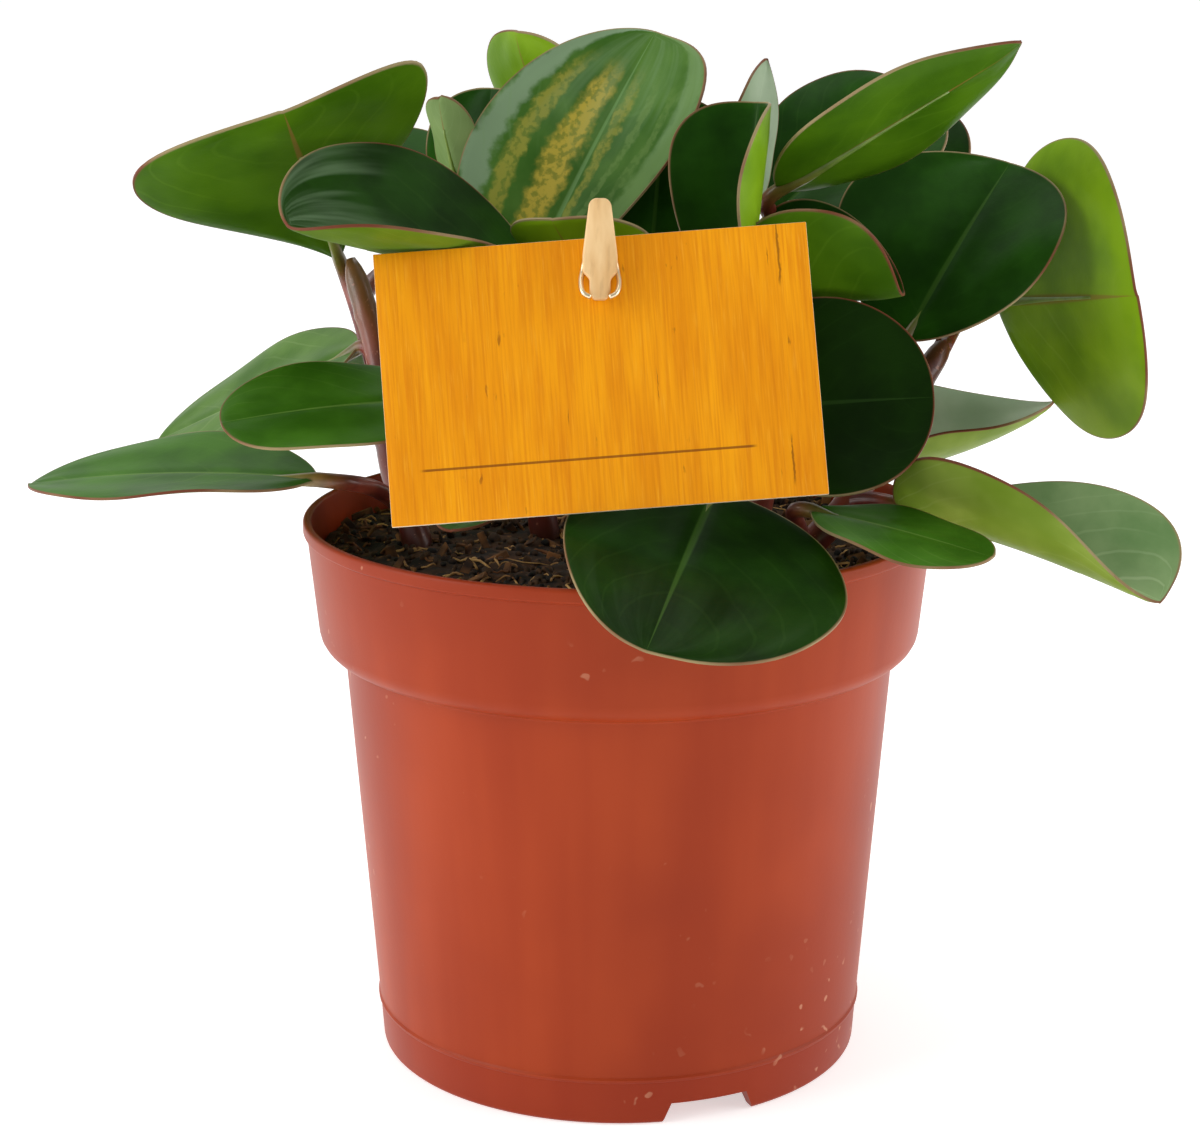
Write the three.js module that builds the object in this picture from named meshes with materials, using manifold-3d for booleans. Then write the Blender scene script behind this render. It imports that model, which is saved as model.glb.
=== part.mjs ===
// Baby rubber plant in a plastic nursery pot, with its wooden tag on a stick.
// Millimetres, +Z up. The origin is the middle of the pot's base, and -Y is the front.
import * as THREE from 'three';
import { mergeVertices } from 'three/addons/utils/BufferGeometryUtils.js';
import Module from 'manifold-3d';

const wasm = await Module();
wasm.setup();

// The sizes that drive the rest
const GAP = 0.3; // clearance between pieces that touch
const ROUND_SIDES = 36; // facets around the pot and the soil

const pot = {
  rimRadius: 60,
  height: 105,
  rimHeight: 3, // the thicker rim at the top
  lip: 0.8, // rounding of the rim
  bandBottom: 79.5, // the band stands out from the wall above this height
  bandStep: 4, // height over which the wall steps out to the band
  bandRadius: 57,
  shoulderRadius: 52.6,
  footRadius: 46.5,
  footWidth: 3,
  edge: 1, // chamfer of the foot
  wall: 1.4,
  floor: 1.6,
  discRadius: 26, // flat middle of the floor, which the pot stands on
  channelHeight: 4, // raised floor around it, where the water runs out
  channelSlope: 2,
  drainHoles: 6,
  drainRadius: 4.5,
  notches: 3,
  notchAngle: -69, // first foot notch, in degrees from +X
  notchWidth: 17,
  notchHeight: 4,
  notchSlope: 1, // how far each side of a notch leans in
};

// Inside radii of the pot, and the height at which its band starts inside
const inside = {
  foot: pot.footRadius - pot.wall,
  shoulder: pot.shoulderRadius - pot.wall,
  band: pot.bandRadius - pot.wall - 0.4,
  rim: pot.rimRadius - 2 * pot.lip,
  channel: pot.discRadius + 1.5,
  disc: pot.discRadius - 0.5,
  bandHeight: pot.bandBottom + pot.bandStep,
  floorHeight: pot.channelHeight + pot.floor,
};

const soil = {
  level: 97.5,
  crumb: 1.2, // height of the bumps on top
  broadBump: 20, // from one bump to the next
  smallBump: 8,
  edgeDrop: 1.5, // rounding at the wall
  stemDepth: 24,
};

const card = {
  width: 75,
  height: 47.5,
  thickness: 1,
  lean: 19.5, // degrees back from upright
  roll: 4.4,
  centre: [-3.6, -45, 139.6],
};

const stick = {
  radius: 1.5,
  bottom: [-4, -44.8, 76],
  top: [-4, -35.3, 160],
};

// The peg hangs on the card's top edge, its jaws down
const peg = {
  length: 21,
  jaw: 12, // how far its jaws reach down over the card
  thickness: 2.6,
  topWidth: 4.4,
  width: 7,
  jawWidth: 4.8,
  widest: 13, // height above the jaws' end
  neck: 6, // height of the groove for the spring
  grooveDepth: 0.4,
  openAngle: 7, // spread of the front half, in degrees
  wireRadius: 0.45,
  coilRadius: 1.5,
  coilLift: 0.9, // of the coil above the card
  wireReach: 5.4, // how far the wire stands in front of the card
  backRoom: 2.6, // room behind the stick, which stands steeper than the card
};

const stem = {
  lowRadius: 3,
  topRadius: 2.2,
  steps: 6,
  sides: 7,
};

const petiole = {
  stemRadius: 1.6, // where it leaves the stem
  leafRadius: 1.2, // where it runs into the midrib
  overlap: 5, // how far it runs on under the midrib
  handle: 0.35, // share of its reach at each end that sets its curve
  rise: 0.12, // how much it arches up, as a share of its reach
  steps: 4,
  sides: 5,
};

const blade = {
  thickness: 1.2,
  rows: 7, // along the midrib
  columns: 4, // across it
  baseFullness: 0.65, // powers that give the outline its widest place beyond the middle
  tipFullness: 0.45,
  baseHalfWidth: 1.2,
  tipHalfWidth: 0.8,
};

// Stems: points from the soil up
const STEMS = [
  { name: 'stem_left', points: [[-38, -4, 98], [-44, 0, 114], [-47, 4, 133], [-51, 10, 150]] },
  { name: 'stem_centre_left', points: [[-14, 4, 98], [-18, 2, 118], [-21, 0, 134], [-24, -2, 147]] },
  { name: 'stem_centre', points: [[-2, 16, 98], [-4, 14, 116], [-6, 16, 134], [-4, 26, 152]] },
  { name: 'stem_centre_right', points: [[12, -6, 98], [15, -8, 118], [18, -4, 138], [22, 4, 156]] },
  { name: 'stem_right', points: [[26, 6, 98], [30, 6, 120], [32, 6, 140], [34, 12, 156]] },
  { name: 'stem_right_low', points: [[32, -20, 98], [42, -16, 110], [52, -6, 124], [62, 2, 138]] },
  { name: 'stem_back_left', points: [[-22, 26, 98], [-26, 30, 118], [-30, 33, 138], [-31, 34, 154]] },
  { name: 'stem_back_right', points: [[16, 32, 98], [20, 38, 118], [26, 42, 138], [34, 44, 150]] },
];

// Leaves: where the blade starts and ends, its width, its roll about that line, the droop of the
// midrib, the rise of each half from the midrib and the further curl of the halves, in degrees
const LEAVES = [
  { name: 'leaf_left_high', stem: 'stem_left', at: 0.97, base: [-51, 18, 151], tip: [-59, -27, 184],
    width: 58, roll: 24, droop: 15, fold: 5, cup: 5 },
  { name: 'leaf_left_cupped', stem: 'stem_centre_left', at: 0.97, base: [-20, -16, 152], tip: [-57, -43, 167],
    width: 44, roll: -13, droop: 0, fold: 27, cup: 14 },
  { name: 'leaf_left_front', stem: 'stem_left', at: 0.45, base: [-26, -27, 127], tip: [-70, -39, 130],
    width: 37, roll: -19, droop: 14, fold: 0, cup: 3 },
  { name: 'leaf_left_pale', stem: 'stem_left', at: 0.7, base: [-48, -2, 138], tip: [-87, 22, 117],
    width: 37, roll: -26, droop: 0, fold: 0, cup: 0 },
  { name: 'leaf_left_low', stem: 'stem_left', at: 0.36, base: [-55, -24, 114], tip: [-109, -16, 115],
    width: 35, roll: -8, droop: 14, fold: 5, cup: 0 },
  { name: 'leaf_top_striped', stem: 'stem_centre', at: 0.85, base: [-17, 6, 143], tip: [2, 22, 195],
    width: 48, roll: 30, droop: 12, fold: 12, cup: 12 },
  { name: 'leaf_top_young', stem: 'stem_back_left', at: 0.99, base: [-32, 24, 162], tip: [-30, 18, 182],
    width: 12, roll: 0, droop: 0, fold: 25, cup: 15 },
  { name: 'leaf_top_dark', stem: 'stem_back_left', at: 0.84, base: [-28, 32, 156], tip: [-25, 38, 182],
    width: 25, roll: 0, droop: 0, fold: 8, cup: 8 },
  { name: 'leaf_top_back', stem: 'stem_centre', at: 0.97, base: [-7, 52, 156], tip: [-20, 42, 193],
    width: 37, roll: 0, droop: 0, fold: 8, cup: 0 },
  { name: 'leaf_centre_small', stem: 'stem_centre', at: 0.7, base: [0, -6, 143], tip: [-12, -25, 164],
    width: 28, roll: 8, droop: 10, fold: 12, cup: 8 },
  { name: 'leaf_centre_folded', stem: 'stem_centre_right', at: 0.75, base: [17, -17, 144], tip: [24, -8, 181],
    width: 32, roll: -5, droop: 0, fold: 42, cup: 12 },
  { name: 'leaf_centre_edge', stem: 'stem_centre_right', at: 0.97, base: [25, 9, 160], tip: [28, 16, 188],
    width: 22, roll: 84, droop: 0, fold: 5, cup: 5 },
  { name: 'leaf_centre_dark', stem: 'stem_centre', at: 0.92, base: [6, 16, 148], tip: [9, 25, 182],
    width: 34, roll: 25, droop: 0, fold: 0, cup: 0 },
  { name: 'leaf_right_bent', stem: 'stem_centre_right', at: 0.9, base: [21, -7, 158], tip: [47, -17, 145],
    width: 37, roll: -28, droop: 14, fold: 26, cup: 8 },
  { name: 'leaf_right_high', stem: 'stem_right', at: 0.96, base: [29, -4, 166], tip: [71, -16, 194],
    width: 34, roll: -26, droop: 0, fold: 0, cup: 0 },
  { name: 'leaf_right_behind', stem: 'stem_right', at: 0.97, base: [35, 28, 163], tip: [63, 41, 183],
    width: 34, roll: 30, droop: 12, fold: 8, cup: 0 },
  { name: 'leaf_right_big', stem: 'stem_right', at: 0.75, base: [53, -5, 139], tip: [74, 12, 170],
    width: 44, roll: 16, droop: 10, fold: 5, cup: 5 },
  { name: 'leaf_right_far', stem: 'stem_right_low', at: 0.97, base: [75, 29, 141], tip: [94, -16, 149],
    width: 55, roll: -80, droop: 8, fold: 5, cup: 5 },
  { name: 'leaf_right_shade', stem: 'stem_centre_right', at: 0.6, base: [18, -24, 128], tip: [57, -29, 132],
    width: 38, roll: 58, droop: 12, fold: 10, cup: 0 },
  { name: 'leaf_right_pointed', stem: 'stem_right', at: 0.5, base: [50, 16, 119], tip: [86, 24, 121],
    width: 24, roll: 12, droop: 0, fold: 0, cup: 0 },
  { name: 'leaf_right_long', stem: 'stem_right_low', at: 0.5, base: [48, -23, 113], tip: [98, -47, 98],
    width: 38, roll: -42, droop: 0, fold: 34, cup: 0 },
  { name: 'leaf_right_low', stem: 'stem_right_low', at: 0.31, base: [34, -36, 115], tip: [66, -52, 110],
    width: 28, roll: 8, droop: 8, fold: 0, cup: 0 },
  { name: 'leaf_front', stem: 'stem_centre_right', at: 0.5, base: [25, -34, 117], tip: [9, -79, 98],
    width: 45, roll: -16, droop: 12, fold: 0, cup: 0 },
  { name: 'leaf_back_peak', stem: 'stem_back_right', at: 0.97, base: [46, 46, 152], tip: [66, 52, 177],
    width: 32, roll: 30, droop: 5, fold: 8, cup: 0 },
  { name: 'leaf_back_left_high', stem: 'stem_back_left', at: 0.97, base: [-34, 50, 156], tip: [-48, 98, 164],
    width: 46, roll: 0, droop: 15, fold: 8, cup: 5 },
  { name: 'leaf_back_left_wide', stem: 'stem_back_left', at: 0.8, base: [-38, 42, 129], tip: [-64, 82, 113],
    width: 42, roll: 5, droop: 18, fold: 6, cup: 5 },
  { name: 'leaf_back_left_low', stem: 'stem_back_left', at: 0.5, base: [-30, 46, 116], tip: [-44, 98, 103],
    width: 46, roll: 0, droop: 20, fold: 5, cup: 5 },
  { name: 'leaf_back_middle', stem: 'stem_back_left', at: 0.9, base: [-22, 52, 148], tip: [-4, 102, 152],
    width: 44, roll: 0, droop: 15, fold: 10, cup: 5 },
  { name: 'leaf_back_middle_low', stem: 'stem_back_right', at: 0.5, base: [10, 50, 118], tip: [4, 102, 108],
    width: 46, roll: 0, droop: 20, fold: 6, cup: 5 },
  { name: 'leaf_back_right_wide', stem: 'stem_back_right', at: 0.85, base: [30, 54, 140], tip: [44, 106, 138],
    width: 48, roll: 0, droop: 18, fold: 6, cup: 5 },
  { name: 'leaf_back_right_low', stem: 'stem_back_right', at: 0.6, base: [34, 52, 116], tip: [54, 96, 98],
    width: 40, roll: 0, droop: 18, fold: 5, cup: 5 },
  { name: 'leaf_back_right_high', stem: 'stem_back_right', at: 0.93, base: [40, 58, 156], tip: [56, 98, 170],
    width: 44, roll: 0, droop: 12, fold: 10, cup: 5 },
  { name: 'leaf_side_right', stem: 'stem_right', at: 0.6, base: [50, 36, 116], tip: [80, 62, 108],
    width: 34, roll: 0, droop: 12, fold: 6, cup: 5 },
  { name: 'leaf_inner_left', stem: 'stem_left', at: 0.9, base: [-45, 27, 152], tip: [-56, 58, 172],
    width: 38, roll: 0, droop: 5, fold: 12, cup: 8 },
  { name: 'leaf_inner_back', stem: 'stem_back_right', at: 0.8, base: [12, 46, 150], tip: [14, 68, 175],
    width: 38, roll: 0, droop: 8, fold: 10, cup: 8 },
  { name: 'leaf_side_left', stem: 'stem_left', at: 0.6, base: [-54, 16, 122], tip: [-82, 46, 107],
    width: 38, roll: 0, droop: 12, fold: 5, cup: 5 },
  { name: 'leaf_soil_small', stem: 'stem_centre_left', at: 0.33, base: [-19, -13, 112], tip: [-30, -36, 110],
    width: 13, roll: 0, droop: 10, fold: 8, cup: 5 },
];

const MATERIALS = {
  terracotta: new THREE.MeshStandardMaterial({ color: 0xa8452a, roughness: 0.5, metalness: 0 }),
  soil: new THREE.MeshStandardMaterial({ color: 0x2a1c12, roughness: 0.95, metalness: 0 }),
  stem: new THREE.MeshStandardMaterial({ color: 0x6b2a20, roughness: 0.4, metalness: 0 }),
  leaf: new THREE.MeshStandardMaterial({ color: 0x2f5c1c, roughness: 0.3, metalness: 0 }),
  card: new THREE.MeshStandardMaterial({ color: 0xe8961c, roughness: 0.55, metalness: 0 }),
  wood: new THREE.MeshStandardMaterial({ color: 0xd9b184, roughness: 0.65, metalness: 0 }),
  wire: new THREE.MeshStandardMaterial({ color: 0xb9b4aa, roughness: 0.35, metalness: 0.9 }),
};

const part = new THREE.Group();
part.name = 'baby_rubber_plant';

function addMesh(name, geometry, material) {
  geometry.computeVertexNormals();
  const mesh = new THREE.Mesh(geometry, material);
  mesh.name = name;
  part.add(mesh);
}

// manifold-3d joins and cuts
function toSolid(geometry) {
  const plain = geometry.clone();
  plain.deleteAttribute('normal');
  plain.deleteAttribute('uv');
  const merged = mergeVertices(plain, 1e-4);
  const triangles = [];
  for (let i = 0; i < merged.index.count; i += 3) {
    const [a, b, c] = merged.index.array.slice(i, i + 3);
    if (a !== b && b !== c && c !== a) {
      triangles.push(a, b, c);
    }
  }
  return new wasm.Manifold(new wasm.Mesh({
    numProp: 3,
    vertProperties: new Float32Array(merged.attributes.position.array),
    triVerts: new Uint32Array(triangles),
  }));
}

function toGeometry(solid) {
  const mesh = solid.getMesh();
  const geometry = new THREE.BufferGeometry();
  geometry.setAttribute('position', new THREE.BufferAttribute(mesh.vertProperties, 3));
  geometry.setIndex(new THREE.BufferAttribute(mesh.triVerts, 1));
  return geometry;
}

function toVector(point) {
  return new THREE.Vector3(point[0], point[1], point[2]);
}

// A closed mesh from rings of points, each ring with the same number, with flat ends
function closedRings(rings) {
  const count = rings[0].length;
  const positions = rings.flat().flatMap((point) => [point.x, point.y, point.z]);
  const triangles = [];
  for (let row = 0; row < rings.length - 1; row += 1) {
    for (let i = 0; i < count; i += 1) {
      const next = (i + 1) % count;
      const a = row * count + i;
      const b = row * count + next;
      triangles.push(a, b, b + count, a, b + count, a + count);
    }
  }
  const last = (rings.length - 1) * count;
  for (let i = 1; i < count - 1; i += 1) {
    triangles.push(0, i + 1, i);
    triangles.push(last, last + i, last + i + 1);
  }
  const geometry = new THREE.BufferGeometry();
  geometry.setAttribute('position', new THREE.Float32BufferAttribute(positions, 3));
  geometry.setIndex(triangles);
  return geometry;
}

// A round limb along a curve, tapering from one radius to the other
function limb(curve, startRadius, endRadius, steps, sides) {
  const frames = curve.computeFrenetFrames(steps, false);
  const rings = [];
  for (let step = 0; step <= steps; step += 1) {
    const share = step / steps;
    const centre = curve.getPointAt(share);
    const radius = THREE.MathUtils.lerp(startRadius, endRadius, share);
    const ring = [];
    for (let side = 0; side < sides; side += 1) {
      const angle = (2 * Math.PI * side) / sides;
      ring.push(centre.clone()
        .addScaledVector(frames.normals[step], radius * Math.cos(angle))
        .addScaledVector(frames.binormals[step], radius * Math.sin(angle)));
    }
    rings.push(ring);
  }
  return closedRings(rings);
}

// Pot: one turned shell, with drain holes in its raised floor and notches in its foot
function potProfile() {
  const { rimRadius, height, lip, bandBottom, bandRadius, channelHeight, footRadius, edge } = pot;
  const rimBottom = height - pot.rimHeight;
  const footIn = footRadius - pot.footWidth;
  return [
    [0, 0],
    [pot.discRadius, 0],
    [pot.discRadius + pot.channelSlope, channelHeight],
    [footIn - edge, channelHeight],
    [footIn, 0],
    [footRadius - edge, 0],
    [footRadius, edge],
    [pot.shoulderRadius, bandBottom],
    [bandRadius - 1.5, bandBottom + 1.2], // rounded underside of the band
    [bandRadius, inside.bandHeight],
    [rimRadius - lip, rimBottom],
    [rimRadius, rimBottom + lip],
    [rimRadius, height - lip],
    [rimRadius - lip, height],
    [inside.rim, height],
    [inside.band, inside.bandHeight],
    [inside.shoulder, bandBottom],
    [inside.foot, inside.floorHeight],
    [inside.channel, inside.floorHeight],
    [inside.disc, pot.floor],
    [0, pot.floor],
  ];
}

// A LatheGeometry turned to stand on Z
function turned(profile) {
  const points = profile.map(([radius, height]) => new THREE.Vector2(radius, height));
  return new THREE.LatheGeometry(points, ROUND_SIDES).rotateX(Math.PI / 2);
}

function drainHole(index) {
  const angle = (2 * Math.PI * index) / pot.drainHoles;
  const fromAxis = (pot.discRadius + pot.footRadius) / 2 - pot.edge;
  const depth = 4 * pot.floor;
  return new THREE.CylinderGeometry(pot.drainRadius, pot.drainRadius, depth, 16)
    .rotateX(Math.PI / 2)
    .translate(fromAxis * Math.cos(angle), fromAxis * Math.sin(angle), inside.floorHeight - pot.floor / 2);
}

function footNotch(index) {
  const angle = THREE.MathUtils.degToRad(pot.notchAngle) + (2 * Math.PI * index) / pot.notches;
  const half = pot.notchWidth / 2;
  const below = 1; // the cut starts below the foot
  const outline = new THREE.Shape([
    new THREE.Vector2(-half - pot.notchSlope, -below),
    new THREE.Vector2(half + pot.notchSlope, -below),
    new THREE.Vector2(half - pot.notchSlope, pot.notchHeight),
    new THREE.Vector2(-half + pot.notchSlope, pot.notchHeight),
  ]);
  const reach = 3 * pot.footWidth;
  return new THREE.ExtrudeGeometry(outline, { depth: reach, bevelEnabled: false })
    .rotateX(Math.PI / 2)
    .rotateZ(Math.PI / 2)
    .translate(pot.footRadius - 2 * pot.footWidth, 0, 0)
    .rotateZ(angle);
}

function makePot() {
  let shell = toSolid(turned(potProfile()));
  for (let i = 0; i < pot.drainHoles; i += 1) {
    shell = shell.subtract(toSolid(drainHole(i)));
  }
  for (let i = 0; i < pot.notches; i += 1) {
    shell = shell.subtract(toSolid(footNotch(i)));
  }
  addMesh('pot', toGeometry(shell), MATERIALS.terracotta);
}

// Stems and the stick: round limbs whose feet stand in plain holes in the soil
function stemCurve(points) {
  const foot = [points[0][0], points[0][1], soil.level - soil.stemDepth];
  return new THREE.CatmullRomCurve3([foot, ...points].map(toVector));
}

function stemSolid(curve, clearance) {
  const { lowRadius, topRadius, steps, sides } = stem;
  return toSolid(limb(curve, lowRadius + clearance, topRadius + clearance, steps, sides));
}

function stickSolid(clearance) {
  const line = new THREE.LineCurve3(toVector(stick.bottom), toVector(stick.top));
  return toSolid(limb(line, stick.radius + clearance, stick.radius + clearance, 1, 8));
}

// Soil: fills the pot, clear of its wall, with a lumpy top
function lump(x, y) {
  const broad = (2 * Math.PI) / soil.broadBump;
  const small = (2 * Math.PI) / soil.smallBump;
  const wave = Math.sin(broad * x) * Math.cos(broad * y);
  return soil.crumb * (0.6 * wave + 0.4 * Math.sin(small * (x - y)));
}

function makeSoil(holes) {
  const bottom = inside.floorHeight + GAP;
  const bandShare = (soil.level - inside.bandHeight) / (pot.height - inside.bandHeight);
  const topRadius = THREE.MathUtils.lerp(inside.band, inside.rim, bandShare) - 2 * GAP;
  const flatRadius = topRadius - soil.edgeDrop;
  const rings = [1, 0.8, 0.6, 0.4, 0.2].map((share) => [flatRadius * share, soil.level]);
  const geometry = turned([
    [0, pot.floor + GAP],
    [inside.disc - GAP, pot.floor + GAP],
    [inside.channel, bottom],
    [inside.foot - GAP, bottom],
    [inside.shoulder - GAP, pot.bandBottom],
    [inside.band - GAP, inside.bandHeight + GAP],
    [topRadius, soil.level - soil.edgeDrop],
    ...rings,
    [0, soil.level],
  ]);
  const position = geometry.attributes.position;
  for (let i = 0; i < position.count; i += 1) {
    const height = position.getZ(i);
    if (height > soil.level - GAP) {
      position.setZ(i, height + lump(position.getX(i), position.getY(i)));
    }
  }
  const solid = holes.reduce((body, hole) => body.subtract(hole), toSolid(geometry));
  addMesh('soil', toGeometry(solid), MATERIALS.soil);
}

// The blade of a leaf, as a grid of rows along the midrib and columns across it
function halfWidth(share, width) {
  const { baseFullness, tipFullness } = blade;
  const power = (x) => (x ** baseFullness) * ((1 - x) ** tipFullness);
  const least = THREE.MathUtils.lerp(blade.baseHalfWidth, blade.tipHalfWidth, share);
  return Math.max(least, (width / 2) * power(share) / power(baseFullness / (baseFullness + tipFullness)));
}

function leafFrame(leaf) {
  const base = toVector(leaf.base);
  const along = toVector(leaf.tip).sub(base);
  const chord = along.length();
  along.normalize();
  const up = new THREE.Vector3(0, 0, 1).addScaledVector(along, -along.z).normalize();
  up.applyAxisAngle(along, THREE.MathUtils.degToRad(leaf.roll));
  const left = new THREE.Vector3().crossVectors(up, along);
  return { base, along, up, left, chord };
}

// A point of the midrib, with its direction and the way its upper face looks
function midrib(frame, droopDegrees, share) {
  const droop = THREE.MathUtils.degToRad(droopDegrees);
  const angle = droop / 2 - droop * share;
  let run = frame.chord * share;
  let rise = 0;
  if (droop > 0) {
    const radius = frame.chord / 2 / Math.sin(droop / 2);
    run = radius * (Math.sin(droop / 2) - Math.sin(angle));
    rise = radius * (Math.cos(angle) - Math.cos(droop / 2));
  }
  const { base, along, up } = frame;
  return {
    point: base.clone().addScaledVector(along, run).addScaledVector(up, rise),
    direction: along.clone().multiplyScalar(Math.cos(angle)).addScaledVector(up, Math.sin(angle)),
    normal: up.clone().multiplyScalar(Math.cos(angle)).addScaledVector(along, -Math.sin(angle)),
  };
}

function bladeGeometry(leaf, frame) {
  const { rows, columns, thickness } = blade;
  const fold = THREE.MathUtils.degToRad(leaf.fold);
  const curl = THREE.MathUtils.degToRad(leaf.cup) / (leaf.width / 2);
  const upper = [];
  const under = [];
  for (let row = 0; row <= rows; row += 1) {
    const share = (1 - Math.cos((Math.PI * row) / rows)) / 2;
    const rib = midrib(frame, leaf.droop, share);
    for (let column = 0; column <= columns; column += 1) {
      const side = (2 * column) / columns - 1;
      const reach = Math.abs(side) * halfWidth(share, leaf.width);
      const slope = fold + curl * reach;
      const middle = fold + (curl * reach) / 2; // the chord of the curled half
      const point = rib.point.clone()
        .addScaledVector(frame.left, Math.sign(side) * reach * Math.cos(middle))
        .addScaledVector(rib.normal, reach * Math.sin(middle));
      const outward = rib.normal.clone().multiplyScalar(side === 0 ? 1 : Math.cos(slope))
        .addScaledVector(frame.left, -Math.sign(side) * Math.sin(slope));
      upper.push(point);
      under.push(point.clone().addScaledVector(outward, -thickness));
    }
  }
  const positions = [...upper, ...under].flatMap((point) => [point.x, point.y, point.z]);
  const triangles = [];
  const wide = columns + 1;
  const shift = upper.length;
  const wall = (a, b) => triangles.push(a, a + shift, b + shift, a, b + shift, b);
  for (let row = 0; row < rows; row += 1) {
    for (let column = 0; column < columns; column += 1) {
      const a = row * wide + column;
      const b = a + wide;
      triangles.push(a, b + 1, a + 1, a, b, b + 1);
      triangles.push(a + shift, a + 1 + shift, b + 1 + shift, a + shift, b + 1 + shift, b + shift);
    }
    wall(row * wide, (row + 1) * wide);
    wall((row + 1) * wide + columns, row * wide + columns);
  }
  for (let column = 0; column < columns; column += 1) {
    wall(column + 1, column);
    wall(rows * wide + column, rows * wide + column + 1);
  }
  const geometry = new THREE.BufferGeometry();
  geometry.setAttribute('position', new THREE.Float32BufferAttribute(positions, 3));
  geometry.setIndex(triangles);
  return geometry;
}

// The stalk from the middle of the stem to under the midrib
function petioleGeometry(leaf, frame, curve) {
  const start = curve.getPoint(leaf.at);
  const rib = midrib(frame, leaf.droop, 0);
  const sunk = rib.point.clone().addScaledVector(rib.normal, -blade.thickness / 2);
  const end = sunk.clone().addScaledVector(rib.direction, petiole.overlap);
  const reach = start.distanceTo(sunk);
  const rise = new THREE.Vector3(0, 0, petiole.rise * reach);
  const path = new THREE.CubicBezierCurve3(
    start,
    start.clone().lerp(sunk, petiole.handle).add(rise),
    sunk.clone().addScaledVector(rib.direction, -petiole.handle * reach),
    end,
  );
  return limb(path, petiole.stemRadius, petiole.leafRadius, petiole.steps, petiole.sides);
}

function makeLeaf(leaf, curve, sleeve) {
  const frame = leafFrame(leaf);
  const stalk = toSolid(petioleGeometry(leaf, frame, curve));
  const solid = toSolid(bladeGeometry(leaf, frame)).add(stalk).subtract(sleeve);
  addMesh(leaf.name, toGeometry(solid), MATERIALS.leaf);
}

// Tag: a card and the peg that clips it, leaning back on the stick
function pegHalf(name, tag) {
  const { topWidth, width, jawWidth, widest, neck, length, thickness } = peg;
  const right = [
    [jawWidth / 2, 0],
    [jawWidth / 2, neck - 1],
    [jawWidth / 2 - peg.grooveDepth, neck],
    [width / 2, neck + 2],
    [width / 2, widest],
    [topWidth / 2, length - 1],
    [topWidth / 2 - 1, length],
  ];
  const left = right.map(([x, y]) => [-x, y]).reverse();
  const outline = new THREE.Shape([...right, ...left].map(([x, y]) => new THREE.Vector2(x, y)));
  const geometry = new THREE.ExtrudeGeometry(outline, { depth: thickness, bevelEnabled: false })
    .rotateX(Math.PI / 2);
  const mesh = new THREE.Mesh(geometry, MATERIALS.wood);
  mesh.name = name;
  tag.add(mesh);
  return mesh;
}

function makeTag() {
  const lean = THREE.MathUtils.degToRad(card.lean);
  const tag = new THREE.Group();
  tag.position.fromArray(card.centre);
  tag.rotation.x = -lean;
  part.add(tag);

  const board = new THREE.Mesh(
    new THREE.BoxGeometry(card.width, card.thickness, card.height),
    MATERIALS.card,
  );
  board.name = 'card';
  board.rotation.y = -THREE.MathUtils.degToRad(card.roll);
  tag.add(board);

  const jawHeight = card.height / 2 - peg.jaw;
  const front = pegHalf('peg_front', tag);
  front.position.set(0, -card.thickness / 2 - GAP, jawHeight);
  front.rotation.x = THREE.MathUtils.degToRad(peg.openAngle);

  const stickLean = Math.atan2(stick.top[1] - stick.bottom[1], stick.top[2] - stick.bottom[2]);
  const behindStick = card.thickness / 2 + 2 * GAP + 2 * stick.radius + peg.backRoom;
  const back = pegHalf('peg_back', tag);
  back.position.set(0, behindStick + peg.thickness, jawHeight);
  back.rotation.x = lean - stickLean;

  const spring = new THREE.Mesh(springGeometry(jawHeight), MATERIALS.wire);
  spring.name = 'peg_spring';
  tag.add(spring);
}

// The spring: a coil above the card, and a wire down to the groove and back up the other side
function springGeometry(jawHeight) {
  const { wireRadius, coilRadius, wireReach, neck } = peg;
  const coilHeight = card.height / 2 + coilRadius + peg.coilLift;
  const coilDepth = card.thickness / 2;
  const sideways = peg.width / 2 + wireRadius + GAP;
  const down = [
    [coilDepth, coilHeight],
    [-wireReach + 2 * wireRadius, jawHeight + neck + 3],
    [-wireReach, jawHeight + neck],
  ];
  const up = [...down].reverse();
  const points = [
    ...down.map(([y, z]) => new THREE.Vector3(sideways, y, z)),
    ...up.map(([y, z]) => new THREE.Vector3(-sideways, y, z)),
  ];
  const wireCurve = new THREE.CatmullRomCurve3(points, false, 'catmullrom', 0.1);
  const wire = limb(wireCurve, wireRadius, wireRadius, 10, 5);
  const coil = new THREE.CylinderGeometry(coilRadius, coilRadius, 2 * sideways + 1, 12)
    .rotateZ(Math.PI / 2)
    .translate(0, coilDepth, coilHeight);
  return toGeometry(toSolid(wire).add(toSolid(coil)));
}

makePot();

const curves = new Map(STEMS.map(({ name, points }) => [name, stemCurve(points)]));
const sleeves = new Map([...curves].map(([name, curve]) => [name, stemSolid(curve, GAP)]));
curves.forEach((curve, name) => addMesh(name, toGeometry(stemSolid(curve, 0)), MATERIALS.stem));
addMesh('stick', toGeometry(stickSolid(0)), MATERIALS.wood);
makeSoil([...sleeves.values(), stickSolid(GAP)]);
LEAVES.forEach((leaf) => makeLeaf(leaf, curves.get(leaf.stem), sleeves.get(leaf.stem)));
makeTag();

export default part;
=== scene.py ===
import math
import random

import bmesh
import bpy
from mathutils import Matrix, Quaternion, Vector, noise


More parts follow.
